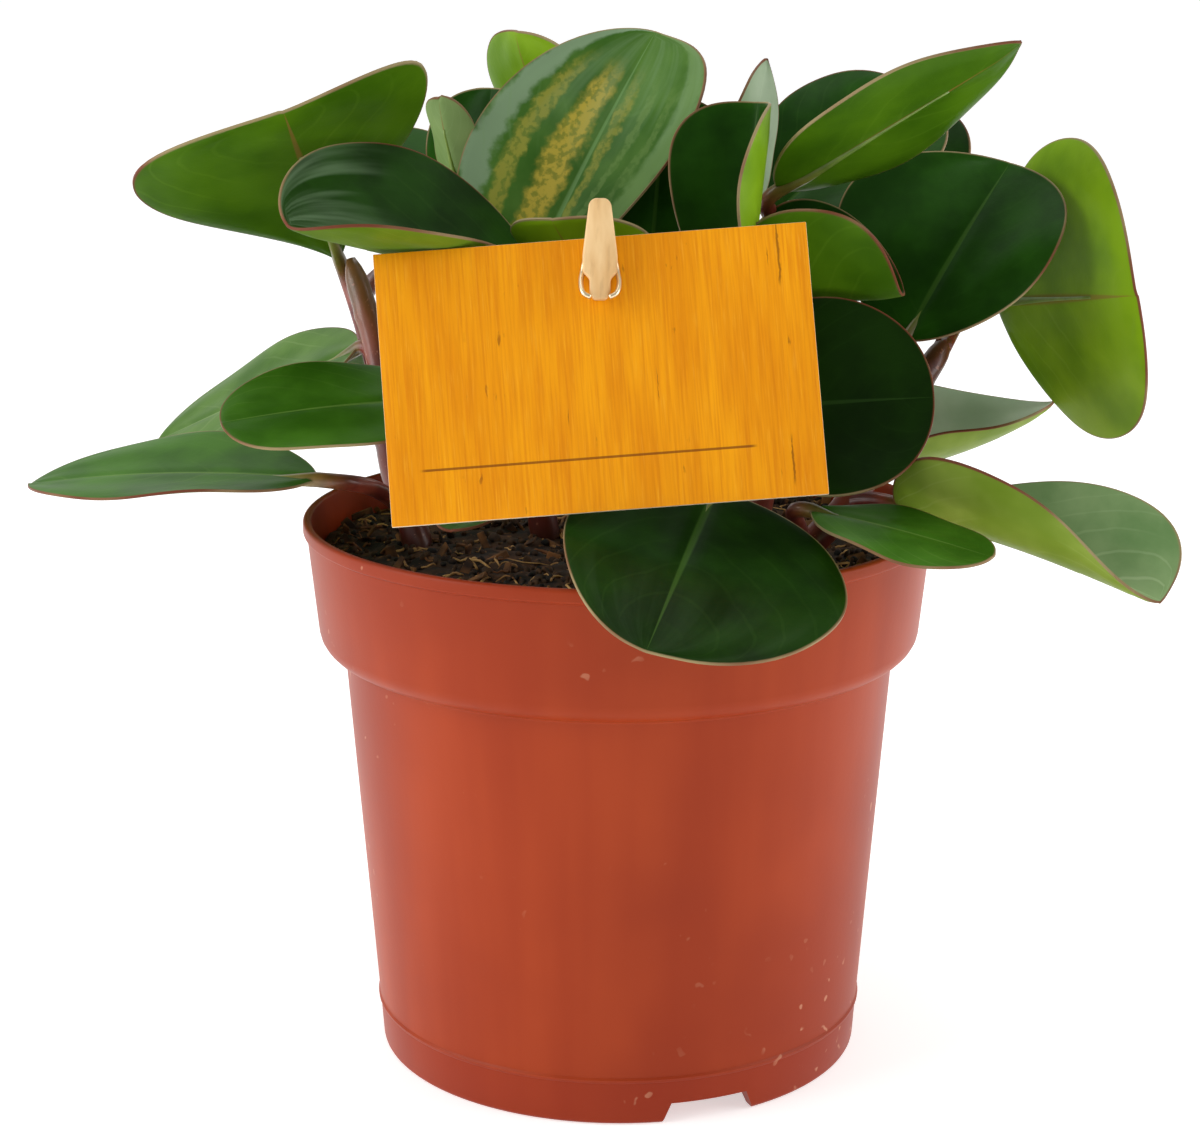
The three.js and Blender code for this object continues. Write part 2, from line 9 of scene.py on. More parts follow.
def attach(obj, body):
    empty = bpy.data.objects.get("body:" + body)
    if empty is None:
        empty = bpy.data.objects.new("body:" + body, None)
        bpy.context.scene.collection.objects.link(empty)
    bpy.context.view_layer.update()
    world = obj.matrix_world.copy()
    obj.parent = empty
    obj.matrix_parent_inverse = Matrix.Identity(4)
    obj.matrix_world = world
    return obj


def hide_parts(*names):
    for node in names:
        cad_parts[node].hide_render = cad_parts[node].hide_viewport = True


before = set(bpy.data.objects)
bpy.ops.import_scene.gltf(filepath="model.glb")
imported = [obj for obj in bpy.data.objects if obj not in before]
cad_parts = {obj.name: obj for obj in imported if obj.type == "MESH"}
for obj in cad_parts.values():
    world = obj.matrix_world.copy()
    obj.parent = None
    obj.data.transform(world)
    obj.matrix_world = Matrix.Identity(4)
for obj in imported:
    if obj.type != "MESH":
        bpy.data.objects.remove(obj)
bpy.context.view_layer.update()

# Pot
# A nursery pot, injection moulded in one piece from terracotta-coloured plastic. The band below
# its rim nests in the next pot of a stack, and its notched foot lets the water run out.
MM = 0.001
POT_STEPS = 160
POT_PROFILE = [  # radius and height in mm, from the middle of the base out, up and back inside
    (0, 0), (26, 0), (28, 4), (42.5, 4), (43.5, 0), (46.5, 0),
    (47.1, 8.4), (47.45, 8.8), (47.5, 9.2), (47.2, 9.6),
    (52.6, 79.5), (57, 80), (59.3, 102.2), (60, 102.6), (60, 105), (58.5, 105),
    (55.3, 83.5), (51.2, 79.5), (45.1, 5.6), (27.5, 5.6), (25.5, 1.6), (0, 1.6),
]
POT_ROUNDS = {2: 0.6, 5: 1, 10: 0.8, 11: 3.6, 13: 0.25, 14: 0.7, 15: 0.6, 16: 2, 17: 2, 18: 1.5}
DRAIN_HOLES = 6
DRAIN_RADIUS = 4.5
DRAIN_FROM_AXIS = 35.2
NOTCHES = 3
NOTCH_ANGLE = -69
NOTCH_OUTLINE = [(-9.5, -1), (9.5, -1), (7.5, 4), (-7.5, 4)]  # across and up
NOTCH_INSIDE = 40.5  # from the axis, where the notches' cutters start
NOTCH_DEPTH = 10
FOOT_TOP = 9  # mm up the pot, where the darker foot ends


def colour(red, green, blue):
    """A colour as a screen shows it, 0 to 255, in the linear values that shaders take."""
    def linear(value):
        value /= 255
        return value / 12.92 if value <= 0.04045 else ((value + 0.055) / 1.055) ** 2.4
    return (linear(red), linear(green), linear(blue), 1.0)


def add(tree, kind, inputs=None, **settings):
    """A shader node, with each input linked to a socket or set to a value."""
    node = tree.nodes.new("ShaderNode" + kind)
    for name, value in settings.items():
        setattr(node, name, value)
    for name, value in (inputs or {}).items():
        if isinstance(value, bpy.types.NodeSocket):
            tree.links.new(value, node.inputs[name])
        else:
            node.inputs[name].default_value = value
    return node


def finish(name, roughness, coat=0.0, specular=0.5):
    """A new material: itself, its node tree, its shader and the place on the object."""
    material = bpy.data.materials.new(name)
    material.use_nodes = True
    tree = material.node_tree
    shader = tree.nodes["Principled BSDF"]
    shader.inputs["Roughness"].default_value = roughness
    shader.inputs["Specular IOR Level"].default_value = specular
    shader.inputs["Coat Weight"].default_value = coat
    shader.inputs["Coat Roughness"].default_value = 0.15
    return material, tree, shader, add(tree, "TexCoord").outputs["Object"]


def maths(tree, operation, first, second=0.0):
    return add(tree, "Math", {0: first, 1: second}, operation=operation).outputs[0]


def times(tree, first, second):
    return maths(tree, "MULTIPLY", first, second)


def inverse(tree, value):
    """1 where the value is 0, and 0 where it is 1."""
    return maths(tree, "SUBTRACT", 1, value)


def grain(tree, place, scale, detail=3.0, squeeze=(1, 1, 1), turn=(0, 0, 0)):
    """Noise from 0 to 1, with its grain squeezed along each axis and turned."""
    mapping = add(tree, "Mapping", {"Vector": place, "Scale": squeeze, "Rotation": turn})
    inputs = {"Vector": mapping.outputs["Vector"], "Scale": scale, "Detail": detail}
    return add(tree, "TexNoise", inputs).outputs["Fac"]


def drift(tree, value, spread):
    """Noise centred on nothing, that goes half the spread to each side."""
    return times(tree, maths(tree, "SUBTRACT", value, 0.5), spread)


def step(tree, value, low, high):
    """0 below low, 1 above high and smooth between."""
    inputs = {"Value": value, "From Min": low, "From Max": high}
    return add(tree, "MapRange", inputs, interpolation_type="SMOOTHSTEP").outputs["Result"]


def blend(tree, share, under, over):
    """One colour over another, each a socket or a colour as a screen shows it."""
    under, over = (colour(*tone) if isinstance(tone, tuple) else tone for tone in (under, over))
    return add(tree, "Mix", {0: share, 6: under, 7: over}, data_type="RGBA").outputs[2]


def relief(tree, height, depth, below=None):
    """A bumped surface, depth in mm."""
    inputs = {"Height": height, "Distance": depth * MM}
    if below:
        inputs["Normal"] = below
    return add(tree, "Bump", inputs).outputs["Normal"]


def wear(tree, shader, base, normal=None, roughness=None):
    tree.links.new(base, shader.inputs["Base Color"])
    if normal:
        tree.links.new(normal, shader.inputs["Normal"])
    if roughness:
        tree.links.new(roughness, shader.inputs["Roughness"])


def piece(name, shape, finishes, crease=35, stands_for=()):
    """An object from a bmesh: smooth but for its sharp edges, and carried by the pot."""
    mesh = bpy.data.meshes.new(name)
    shape.to_mesh(mesh)
    shape.free()
    for material in finishes:
        mesh.materials.append(material)
    mesh.shade_smooth()
    mesh.set_sharp_from_angle(angle=math.radians(crease))
    made = bpy.data.objects.new(name, mesh)
    bpy.context.scene.collection.objects.link(made)
    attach(made, "root")
    if stands_for:
        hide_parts(*stands_for)
    return made


def outline(shape, points, rounds=None):
    """A row of edges through points, with some corners rounded to a radius."""
    corners = [shape.verts.new(Vector(point) * MM) for point in points]
    for start, end in zip(corners, corners[1:]):
        shape.edges.new((start, end))
    for index, radius in (rounds or {}).items():
        bmesh.ops.bevel(shape, geom=[corners[index]], offset=radius * MM, segments=5,
                        profile=0.5, affect="VERTICES", material=-1)


def turned(shape, steps):
    """Spins what the shape holds round the upright axis into a closed skin."""
    bmesh.ops.spin(shape, geom=shape.verts[:] + shape.edges[:], axis=(0, 0, 1), cent=(0, 0, 0),
                   angle=2 * math.pi, steps=steps, use_merge=True)
    bmesh.ops.remove_doubles(shape, verts=shape.verts[:], dist=1e-6)
    bmesh.ops.recalc_face_normals(shape, faces=shape.faces[:])


def push_out(shape, corners, way):
    """A solid from a flat outline pushed through, and its new corners."""
    face = shape.faces.new(corners)
    made = bmesh.ops.extrude_face_region(shape, geom=[face])["geom"]
    far = [item for item in made if isinstance(item, bmesh.types.BMVert)]
    bmesh.ops.translate(shape, verts=far, vec=way)
    return far


def cut_away(body, cutters):
    """Takes the cutters' shape out of a finished piece."""
    mesh = bpy.data.meshes.new("cutters")
    cutters.to_mesh(mesh)
    cutters.free()
    tool = bpy.data.objects.new("cutters", mesh)
    bpy.context.scene.collection.objects.link(tool)
    hole = body.modifiers.new("Holes", "BOOLEAN")
    hole.object = tool
    hole.solver = "EXACT"
    settle(body)
    bpy.data.objects.remove(tool)
    bpy.data.meshes.remove(mesh)


def lay(heap, bit):
    """Adds a finished bit to a heap of them."""
    mesh = bpy.data.meshes.new("bit")
    bit.to_mesh(mesh)
    bit.free()
    heap.from_mesh(mesh)
    bpy.data.meshes.remove(mesh)


def settle(body):
    """Makes a piece's modifiers part of its mesh."""
    graph = bpy.context.evaluated_depsgraph_get()
    mesh = bpy.data.meshes.new_from_object(body.evaluated_get(graph))
    body.modifiers.clear()
    body.data = mesh


def terracotta_plastic():
    material, tree, shader, place = finish("terracotta_plastic", 0.4, specular=0.16)
    streaks = grain(tree, place, 70, squeeze=(1, 1, 0.06))
    clouds = grain(tree, place, 18)
    base = blend(tree, step(tree, streaks, 0.3, 0.7), (150, 51, 16), (163, 61, 23))
    base = blend(tree, step(tree, clouds, 0.35, 0.75), base, (142, 47, 16))
    height = add(tree, "SeparateXYZ", {0: place}).outputs["Z"]
    foot = step(tree, height, (FOOT_TOP + 0.4) * MM, (FOOT_TOP - 0.4) * MM)
    base = blend(tree, times(tree, foot, 0.5), base, (138, 40, 15))
    specks = step(tree, grain(tree, place, 420, detail=1), 0.70, 0.76)
    patches = step(tree, grain(tree, place, 35), 0.52, 0.66)
    scuffs = times(tree, specks, patches)
    base = blend(tree, times(tree, scuffs, 0.55), base, (206, 148, 116))
    skin = relief(tree, grain(tree, place, 900), 0.012)
    skin = relief(tree, streaks, 0.02, skin)
    gloss = add(tree, "MapRange", {"Value": clouds, "To Min": 0.36, "To Max": 0.46})
    wear(tree, shader, base, skin, gloss.outputs["Result"])
    return material


pot_shape = bmesh.new()
outline(pot_shape, [(radius, 0, height) for radius, height in POT_PROFILE], POT_ROUNDS)
turned(pot_shape, POT_STEPS)
pot = piece("pot_shell", pot_shape, [terracotta_plastic()], stands_for=["pot"])

pot_holes = bmesh.new()
for number in range(DRAIN_HOLES):
    turn = Matrix.Rotation(2 * math.pi * number / DRAIN_HOLES, 4, "Z")
    place = turn @ Matrix.Translation((DRAIN_FROM_AXIS * MM, 0, 5 * MM))
    bmesh.ops.create_cone(pot_holes, cap_ends=True, segments=32, radius1=DRAIN_RADIUS * MM,
                          radius2=DRAIN_RADIUS * MM, depth=6 * MM, matrix=place)
for number in range(NOTCHES):
    turn = Matrix.Rotation(math.radians(NOTCH_ANGLE + 360 * number / NOTCHES), 4, "Z")
    corners = [pot_holes.verts.new(Vector((NOTCH_INSIDE, across, up)) * MM)
               for across, up in NOTCH_OUTLINE]
    far = push_out(pot_holes, corners, (NOTCH_DEPTH * MM, 0, 0))
    bmesh.ops.transform(pot_holes, verts=corners + far, matrix=turn)
bmesh.ops.recalc_face_normals(pot_holes, faces=pot_holes.faces[:])
cut_away(pot, pot_holes)
pot.data.set_sharp_from_angle(angle=math.radians(35))

# Soil
# Damp peat, bark and coconut fibre, which fills the pot to a little under its rim. Its top is
# loose: crumbs, flakes of bark and pale fibres lie on it and stick up out of it.
SOIL_LEVEL = 99.5
SOIL_RADIUS = 56.8
SOIL_PROFILE = [  # radius and height, from the middle of its underside out and up
    (0, 1.9), (25.2, 1.9), (27.5, 5.9), (44.7, 5.9), (50.8, 79.5), (54.7, 83.9), (56.8, 98),
]
SOIL_RINGS = 48
SOIL_LUMPS = [(0.055, 1.5), (0.22, 1.1), (0.75, 0.6)]  # how close together, and mm high
SOIL_EDGE = 50  # from the axis, where the soil starts to slope down to the pot's wall
SOIL_SLOPE = 1.2
CRUMBS = 1500
BARK_FLAKES = 260
FIBRES = 330
FIBRE_LENGTHS = (2, 2.6, 3.4, 4.2, 5.5, 8.5)
FIBRE_POINTS = 7
chance = random.Random(7)
noise.seed_set(7)


def ground(across, deep):
    """Height of the soil's top in mm."""
    far = Vector((across, deep, 0))
    lumps = [noise.noise(far * close) * high for close, high in SOIL_LUMPS]
    rim = max(0.0, (far.length - SOIL_EDGE) / (SOIL_RADIUS - SOIL_EDGE)) ** 2
    return SOIL_LEVEL + lumps[0] + lumps[1] + lumps[2] - SOIL_SLOPE * rim


def sweep(shape, points, radii, sides, layer=None, number=0):
    """A round limb: a circle extruded from point to point, with both ends filled."""
    verts = bmesh.ops.create_circle(shape, segments=sides, radius=MM)["verts"]
    edges = list(dict.fromkeys(edge for vert in verts for edge in vert.link_edges))
    first = edges
    unit = Matrix.Identity(4)
    faces = []
    upright = Vector((0, 0, 1))
    turn = Quaternion()
    for count, (point, radius) in enumerate(zip(points, radii)):
        behind = points[max(0, count - 1)]
        ahead = points[min(len(points) - 1, count + 1)]
        heading = (ahead - behind).normalized()
        turn = upright.rotation_difference(heading) @ turn
        upright = heading
        place = Matrix.Translation(point * MM) @ turn.to_matrix().to_4x4()
        target = place @ Matrix.Scale(radius, 4)
        if count:
            pushed = bmesh.ops.extrude_edge_only(shape, edges=edges)["geom"]
            verts = [item for item in pushed if isinstance(item, bmesh.types.BMVert)]
            edges = [item for item in pushed if isinstance(item, bmesh.types.BMEdge)
                     and all(vert in verts for vert in item.verts)]
            faces += [item for item in pushed if isinstance(item, bmesh.types.BMFace)]
        bmesh.ops.transform(shape, verts=verts, matrix=target @ unit.inverted())
        unit = target
        if layer:
            for vert in verts:
                vert[layer] = count / (len(points) - 1)
    for loop in (first, edges):
        faces += bmesh.ops.contextual_create(shape, geom=loop)["faces"]
    bmesh.ops.recalc_face_normals(shape, faces=faces)
    for face in faces:
        face.material_index = number
        face.smooth = True


def soil_finish():
    material, tree, shader, place = finish("potting_soil", 0.92)
    lumps = grain(tree, place, 260, detail=6)
    bits = step(tree, grain(tree, place, 620, detail=2), 0.62, 0.72)
    damp = grain(tree, place, 45)
    base = blend(tree, step(tree, lumps, 0.35, 0.7), (24, 16, 8), (80, 50, 24))
    base = blend(tree, times(tree, bits, 0.7), base, (140, 92, 46))
    moss = times(tree, step(tree, damp, 0.55, 0.7), 0.6)
    base = blend(tree, moss, base, (34, 36, 18))
    wear(tree, shader, base, relief(tree, lumps, 0.9))
    return material


def loose_finish(name, dark, light, scale, roughness=0.85):
    """What lies on the soil: two tones that change from bit to bit."""
    material, tree, shader, place = finish(name, roughness)
    tone = step(tree, grain(tree, place, scale, detail=2), 0.35, 0.68)
    base = blend(tree, tone, dark, light)
    wear(tree, shader, base, relief(tree, grain(tree, place, 1400), 0.15))
    return material


def on_soil(lift=0.0):
    """A chance place on the soil, in mm."""
    angle = chance.uniform(0, 2 * math.pi)
    far = (SOIL_RADIUS - 2) * math.sqrt(chance.random())
    across, deep = far * math.cos(angle), far * math.sin(angle)
    return Vector((across, deep, ground(across, deep) + lift))


def tumbled(spot, size):
    """A chance turn at a place, with its size along each axis, for something that lies there."""
    turn = Quaternion([chance.gauss(0, 1) for _ in range(4)]).normalized().to_matrix().to_4x4()
    return Matrix.Translation(spot * MM) @ turn @ Matrix.Diagonal((*(Vector(size) * MM), 1))


soil_shape = bmesh.new()
rings = [(SOIL_RADIUS * (1 - count / SOIL_RINGS), 0, SOIL_LEVEL) for count in range(SOIL_RINGS + 1)]
outline(soil_shape, [(radius, 0, height) for radius, height in SOIL_PROFILE] + rings)
turned(soil_shape, POT_STEPS)
for vert in soil_shape.verts:
    if vert.co.z > (SOIL_LEVEL - 0.5) * MM:
        vert.co.z = ground(vert.co.x / MM, vert.co.y / MM) * MM
piece("soil_bed", soil_shape, [soil_finish()], crease=180, stands_for=["soil"])

crumb_shape = bmesh.new()
for number in range(CRUMBS):
    size = chance.uniform(0.35, 0.9) * (1.8 if number % 9 == 0 else 1)
    place = on_soil(0.2)
    sides = (size, size * chance.uniform(0.7, 1.1), size * chance.uniform(0.5, 0.9))
    crumb = bmesh.new()
    bmesh.ops.create_icosphere(crumb, subdivisions=2, radius=1, matrix=tumbled(place, sides))
    for vert in crumb.verts:
        vert.co += noise.noise_vector(vert.co * 900) * 0.25 * size * MM
    lay(crumb_shape, crumb)
piece("soil_crumbs", crumb_shape, [loose_finish("crumb", (14, 10, 7), (82, 54, 28), 330)],
      crease=180)

bark_shape = bmesh.new()
for number in range(BARK_FLAKES):
    size = (chance.uniform(1.2, 3.2), chance.uniform(0.7, 1.4), chance.uniform(0.25, 0.5))
    flake = bmesh.new()
    bmesh.ops.create_cube(flake, size=1.4, matrix=tumbled(on_soil(0.5), size))
    for vert in flake.verts:
        vert.co += noise.noise_vector(vert.co * 700) * 0.5 * MM
    bmesh.ops.bevel(flake, geom=flake.edges[:], offset=0.12 * MM, segments=1, profile=0.5,
                    affect="EDGES", material=-1)
    lay(bark_shape, flake)
piece("soil_bark", bark_shape, [loose_finish("bark", (46, 28, 16), (146, 96, 50), 200)],
      crease=30)

fibre_shape = bmesh.new()
for number in range(FIBRES):
    spot = on_soil(0.3)
    heading = chance.uniform(0, 2 * math.pi)
    length = chance.choice(FIBRE_LENGTHS) * chance.uniform(0.8, 1.2)
    arch = chance.uniform(0.0, 0.12) * length
    bend = chance.uniform(-1.1, 1.1)
    run = []
    for count in range(FIBRE_POINTS):
        share = count / (FIBRE_POINTS - 1)
        angle = heading + bend * share
        flat = spot + Vector((math.cos(angle), math.sin(angle), 0)) * length * (share - 0.5)
        flat.xy *= min(1, (SOIL_RADIUS - 1) / max(flat.xy.length, 1e-6))
        flat.z = ground(flat.x, flat.y) + 0.25 + arch * math.sin(math.pi * share)
        run.append(flat)
    thick = chance.uniform(0.10, 0.3)
    radii = [thick * (0.5 + 0.5 * math.sin(math.pi * (count + 1) / (FIBRE_POINTS + 1)))
             for count in range(FIBRE_POINTS)]
    fibre = bmesh.new()
    sweep(fibre, run, radii, sides=5)
    lay(fibre_shape, fibre)
coconut = loose_finish("coconut_fibre", (116, 68, 28), (224, 176, 106), 130, roughness=0.7)
piece("soil_fibres", fibre_shape, [coconut], crease=180)

# Stems
# Eight fleshy red-brown stems, which rise from the soil and end in a bud. Each stands with its
# foot sunk in the soil, and swells at the joints that its leaves grow from.
STEM_FOOT = 73.5
STEM_RADIUS = (3.0, 2.2)
STEM_STEPS = 44
STEM_JOINTS = 7
JOINT_SWELL = 0.35
STEMS = {  # points in mm, from the soil up
    "left": [(-38, -4, 98), (-43, 0, 114), (-45.5, 4, 133), (-51, 10, 152)],
    "centre_left": [(-14, 4, 98), (-18, 2, 118), (-21, 0, 134), (-24, -2, 147)],
    "centre": [(-2, 16, 98), (-4, 14, 116), (-6, 16, 134), (-4, 26, 152)],
    "centre_right": [(12, -6, 98), (15, -8, 118), (18, -4, 138), (22, 4, 156)],
    "right": [(26, 6, 98), (30, 6, 120), (32, 6, 140), (34, 12, 156)],
    "right_low": [(32, -20, 98), (42, -16, 110), (52, -6, 124), (62, 2, 138)],
    "back_left": [(-22, 26, 98), (-26, 30, 118), (-30, 33, 138), (-31, 34, 154)],
    "back_right": [(16, 32, 98), (20, 38, 118), (26, 42, 138), (34, 44, 150)],
}


def smooth_run(points, share):
    """A point of the smooth curve through points, which spaces its bends by their distance."""
    spans = len(points) - 1
    index = min(int(share * spans), spans - 1)
    part = share * spans - index
    here, there = points[index], points[index + 1]
    before = points[index - 1] if index else 2 * here - there
    after = points[index + 2] if index + 2 <= spans else 2 * there - here
    first, middle, last = (
        (end - start).length ** 0.5
        for start, end in ((before, here), (here, there), (there, after))
    )
    slope = (there - here) / middle
    leave = ((here - before) / first - (there - before) / (first + middle) + slope) * middle
    meet = (slope - (after - here) / (middle + last) + (after - there) / last) * middle
    cubic = 2 * here - 2 * there + leave + meet
    square = 3 * (there - here) - 2 * leave - meet
    return here + leave * part + square * part ** 2 + cubic * part ** 3


def stem_finish():
    material, tree, shader, place = finish("red_stem", 0.36, coat=0.25)
    height = add(tree, "SeparateXYZ", {0: place}).outputs["Z"]
    tone = grain(tree, place, 150, squeeze=(1, 1, 0.3))
    base = blend(tree, step(tree, tone, 0.3, 0.7), (70, 22, 18), (132, 58, 44))
    young = step(tree, height, 128 * MM, 160 * MM)
    base = blend(tree, times(tree, young, 0.45), base, (122, 118, 52))
    base = blend(tree, step(tree, height, 104 * MM, 96 * MM), base, (58, 34, 22))
    dots = step(tree, grain(tree, place, 1100, detail=1), 0.68, 0.75)
    base = blend(tree, times(tree, dots, 0.35), base, (196, 130, 104))
    wear(tree, shader, base, relief(tree, tone, 0.25))
    return material


red_stem = stem_finish()
stem_runs = {}
for name, points in STEMS.items():
    foot = Vector((points[0][0], points[0][1], STEM_FOOT))
    stem_runs[name] = [foot] + [Vector(point) for point in points]
    run, radii = [], []
    for count in range(STEM_STEPS + 1):
        share = count / STEM_STEPS
        joint = max(0.0, math.cos(2 * math.pi * share * STEM_JOINTS)) ** 8
        end = min(1.0, (1 - share) * 14)
        run.append(smooth_run(stem_runs[name], share))
        radius = STEM_RADIUS[0] + (STEM_RADIUS[1] - STEM_RADIUS[0]) * share
        radii.append((radius + JOINT_SWELL * joint) * max(0.12, end * (2 - end)) ** 0.5)
    stem_shape = bmesh.new()
    sweep(stem_shape, run, radii, sides=18)
    piece(f"stem_{name}_flesh", stem_shape, [red_stem], crease=180,
          stands_for=["stem_" + name])

# Leaves
# Thick waxy leaves, broad and blunt, dark above and paler below, with a thin red-brown margin.
# Each is one piece with its stalk, which runs from the stem to the midrib and on below it.
LEAF_THICKNESS = 1.15
MARGIN_THICKNESS = 0.42  # as a share of the leaf's
MARGIN_TAPER = 5  # mm over which the leaf thins to its margin
MARGIN_ROUND = 0.16
ALIKE = (1.0, 0.65, 0.45, 0)
HALVES = {  # the left and right half of a leaf: width, fullness at base and tip, extra fold
    "left_high": ((0.92, 1.3, 0.32, 0), (1.04, 1.3, 0.5, 0)),
    "left_cupped": ((0.72, 0.75, 0.5, 10), (1.1, 0.45, 0.45, 0)),
    "left_pale": ((1.15, 0.65, 0.5, 0), (1.0, 0.65, 0.6, 0)),
    "left_low": ((0.85, 0.65, 0.65, 0), (1.0, 0.65, 0.65, 0)),
    "top_striped": ((1.0, 0.55, 0.6, 0), (0.9, 0.9, 0.33, 0)),
    "centre_folded": ((0.92, 0.95, 0.4, 0), (0.9, 0.65, 0.45, 34)),
    "centre_edge": ((1.0, 0.65, 0.8, 0), (0.75, 0.65, 0.9, 0)),
    "right_bent": ((1.05, 0.45, 0.75, 0), (1.2, 0.45, 0.35, 0)),
    "right_high": ((1.0, 0.65, 0.85, 0), (1.0, 0.65, 0.85, 0)),
    "right_big": ((1.18, 0.65, 0.5, 0), (0.92, 0.65, 0.45, 0)),
    "right_far": ((1.04, 0.6, 0.6, 0), (1.08, 0.58, 0.42, 0)),
    "right_shade": ((1.03, 0.38, 0.45, 0), (1.0, 0.65, 0.5, 0)),
    "right_pointed": ((1.5, 0.35, 0.95, 0), (0.8, 0.45, 1.0, 0)),
    "right_long": ((0.88, 0.9, 0.33, 0), (0.9, 0.35, 1.05, 10)),
    "right_low": ((0.65, 0.65, 0.45, 0), (0.9, 0.65, 0.45, 0)),
    "front": ((1.28, 0.5, 0.5, 0), (0.97, 0.4, 0.58, 0)),
}
ACROSS = 30
ALONG = 46
FOLD_ROUND = 3.5  # how far from the midrib the two halves take to turn up
SIDE_VEINS = 6
VEIN_SWING = 0.22  # how far a vein wanders, of the distance from vein to vein
GRID_GATHER = 0.35  # how strongly the blade's grid draws in towards the midrib
CHANNEL_DEPTH = 0.4
CHANNEL_WIDTH = 1.1
SWELL_HEIGHT = 0.55
WAVE_HEIGHT = 0.6
WAVES = 1.4  # along a margin
STALK_RADIUS = (1.8, 1.4, 0.3)  # at the stem, at the blade and at the end of the midrib
STALK_STEPS = 12
RIB_END = 0.7  # of the blade, where the raised midrib below it ends
